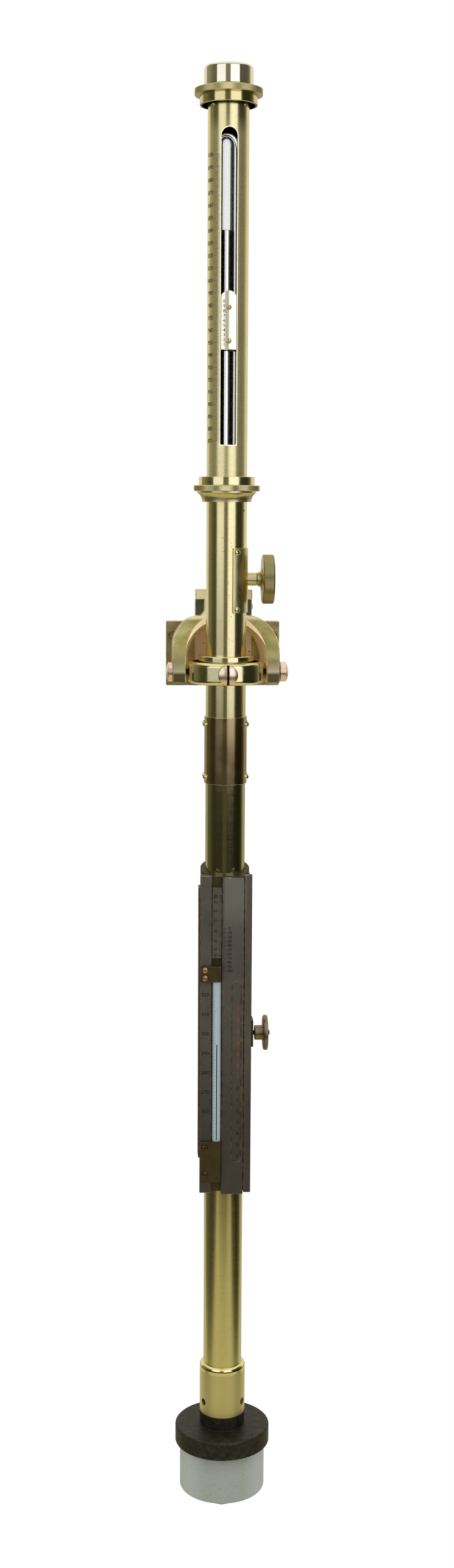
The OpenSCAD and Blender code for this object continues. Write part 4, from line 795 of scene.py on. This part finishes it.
machined("correction_slide", "correction", [scale_plate, copper_edge], 0.0002)
machined("slide_rack", "correction", [satin_brass], 0.0001)
bm, red_bm, recess_bm = bmesh.new(), bmesh.new(), bmesh.new()
for i in range(51):
    z = HEIGHT_TOP - HEIGHT_STEP * i
    cut_line(bm, -0.0020, -0.0008 if i % 5 else 0.0006, z, 0.00012 if i % 5 else 0.00020)
    if i % 5 == 0:
        cut_figure(bm, str(2 * i), 0.0019, 0.0022, z)
for i, figure in enumerate("7654321"):
    cut_figure(red_bm, figure, 0.0023, recess_x, ZERO_Z + FIGURE_STEP * (7 - i))
for i, figure in enumerate("0123456"):
    cut_figure(recess_bm, figure, 0.0023, recess_x, ZERO_Z - FIGURE_STEP * i)
for i in range(97):  # the correction's tenths, along the slide's left edge
    reach = 0.0022 if i % 10 == 0 else 0.0015 if i % 5 == 0 else 0.0010
    cut_line(bm, slide_left, slide_left + reach, TENTHS_TOP - TENTH * i, 0.00012)
red_filler = surface("red_wax_in_engraving", {"Metallic": 0.0, "Roughness": 0.7,
                                              "Base Color": linear("#8A2A1C")})[0]
engraving("recess_red_figures", red_bm, in_front(RECESS_FACE), red_filler, "correction")
engraving("recess_black_figures", recess_bm, in_front(RECESS_FACE), black_filler, "correction")
engraving("slide_engraving", bm, in_front(SLIDE_FACE), black_filler, "correction")

# Slide's drive: a pinion on a shaft through the boss, and a bronzed knob with a knurled rim, held
# by a stud.

SLIDE_SHAFT_R, SLIDE_SHAFT_Y, SLIDE_SHAFT_Z = 0.0015, AXIS_Y - 0.0142, -0.2376
SLIDE_HUB_R, SLIDE_HUB_X = 0.0047, 0.0186
SLIDE_KNOB_R, SLIDE_KNOB_X, SLIDE_KNOB_END = 0.0111, 0.0240, 0.0268
SLIDE_ROUND, SLIDE_ROUND_X = 0.0008, 0.0007

# Bronzed brass: warm grey-brown with a soft shine, in clouds of 5 mm.
bronze, tree, shader, here = surface("bronzed_knob", {"Roughness": 0.34})
skin = mottled(tree, here, 0.005, 3.0, "#75674F", "#9A8A6C")[1]
fill(tree, shader, {"Base Color": skin})

machined("slide_pinion", "correction_drive", [brown_brass], 0.0001)
along_x = Matrix.Translation((0, SLIDE_SHAFT_Y, SLIDE_SHAFT_Z)) @ Matrix.Rotation(math.pi / 2, 4, "Y")
knob = spun("knurled_slide_knob",
            [(SLIDE_SHAFT_R, SLIDE_HUB_X), (SLIDE_HUB_R - 0.0004, SLIDE_HUB_X),
             (SLIDE_HUB_R, SLIDE_HUB_X + 0.0004), (SLIDE_HUB_R, SLIDE_KNOB_X),
             (SLIDE_KNOB_R - SLIDE_ROUND, SLIDE_KNOB_X), (SLIDE_KNOB_R - 0.0002, SLIDE_KNOB_X + 0.0003),
             (SLIDE_KNOB_R, SLIDE_KNOB_X + SLIDE_ROUND_X), (SLIDE_KNOB_R, SLIDE_KNOB_END - SLIDE_ROUND_X),
             (SLIDE_KNOB_R - 0.0002, SLIDE_KNOB_END - 0.0002), (SLIDE_KNOB_R - SLIDE_ROUND, SLIDE_KNOB_END),
             (SLIDE_SHAFT_R, SLIDE_KNOB_END)],
            200, along_x, bronze, 0.0001)
stand_in(knob, "slide_knob", "correction_drive")
stud = spun("slide_knob_stud", [(0.0, 0.0262), (0.0019, 0.0262), (0.0019, 0.0272), (0.0016, 0.0276),
                                (0.0009, 0.0279), (0.0, 0.0280)], 32, along_x, brown_brass)
stand_in(stud, "slide_knob_screw", "correction_drive")

# Latitude plate: a short plate of the same darkened brass that slides by hand in its own channel,
# and is read against the index on the left strip. Its divisions close up towards both ends, as the
# cosine of twice the latitude does.

LATITUDE_MIDDLE, LATITUDE_HALF = -0.16677, 0.01953
LATITUDE_FACE = 0.0199
machined("latitude_plate", "latitude", [scale_plate, copper_edge], 0.0002)
bm = bmesh.new()
for step, left, width in ((10, -0.0050, 0.00016), (2, -0.0042, 0.00012)):
    for degrees in range(0, 91, step):
        z = LATITUDE_MIDDLE - LATITUDE_HALF * math.cos(math.radians(2 * degrees))
        cut_line(bm, left, -0.0029, z, width)
        if step == 10:
            cut_figure(bm, str(degrees), 0.0017, -0.0068, z)
engraving("latitude_engraving", bm, in_front(LATITUDE_FACE), black_filler, "latitude")

# Cistern: a blackened iron cover under a satin brass ferrule, over a closed cup of grey cast iron.
# Three grub screws hold the ferrule on the tube.

# Brushed ferrule brass: golden and satin, with turning lines, and a polished upper lip.
LIP = (-0.4705, -0.4690)
ferrule_brass, tree, shader, here = surface("brushed_ferrule_brass", {"Base Color": linear("#EDE2A2")})
height = add(tree, "SeparateXYZ", {0: here})
lip = add(tree, "MapRange", {0: height.outputs[2], 1: LIP[0], 2: LIP[1], 3: 0.36, 4: 0.10})
turning = tool_lines(tree, here, (80.0, 80.0, 3000.0), 2.0)
rough = add(tree, "Bump", {"Strength": 0.05, "Distance": 0.00005, "Height": turning})
fill(tree, shader, {"Roughness": lip.outputs[0], "Normal": rough.outputs[0]})
machined("ferrule", "barometer", [ferrule_brass], 0.0001, turned=True)
machined("grub_screws", "barometer", [brown_brass], 0.0001)

# Blackened iron: near black, with brown showing through in ragged patches of 4 mm.
black_iron, tree, shader, here = surface("blackened_iron", {"Metallic": 0.7, "Roughness": 0.5})
cloud = add(tree, "TexNoise", {0: here, "Scale": 1 / 0.004, "Detail": 8.0, "Roughness": 0.75})
skin = tinted(tree, cloud.outputs[0], 0.35, 0.7, linear("#1E1D17"), "#43402F")
fill(tree, shader, {"Base Color": skin})
machined("cistern_cover", "barometer", [black_iron], 0.0003, turned=True)

# Grey cast iron: pale and matt with dark grit under 1 mm, paler low down, and with painted light on its
# sides.
CUP_LOW, CUP_SIDES = (-0.5140, -0.5330), (0.0120, 0.0225)
grey_iron, tree, shader, here = surface("grey_cast_iron", {"Metallic": 0.3, "Roughness": 0.6})
place = add(tree, "SeparateXYZ", {0: here})
skin = tinted(tree, place.outputs[2], *CUP_LOW, linear("#7E847B"), "#9DA299")
# Painted light: the cup's sides, as seen from the front, are made paler.
wide = add(tree, "Math", {0: place.outputs[0]}, operation="ABSOLUTE")
skin = tinted(tree, wide.outputs[0], *CUP_SIDES, skin, "#B7BDBA", most=0.7)
grit = add(tree, "TexNoise", {0: here, "Scale": 1 / 0.0009, "Detail": 3.0})
skin = tinted(tree, grit.outputs[0], 0.63, 0.72, skin, "#565A53", most=0.8)
fill(tree, shader, {"Base Color": skin})
machined("cistern_cup", "barometer", [grey_iron], 0.0009, turned=True)
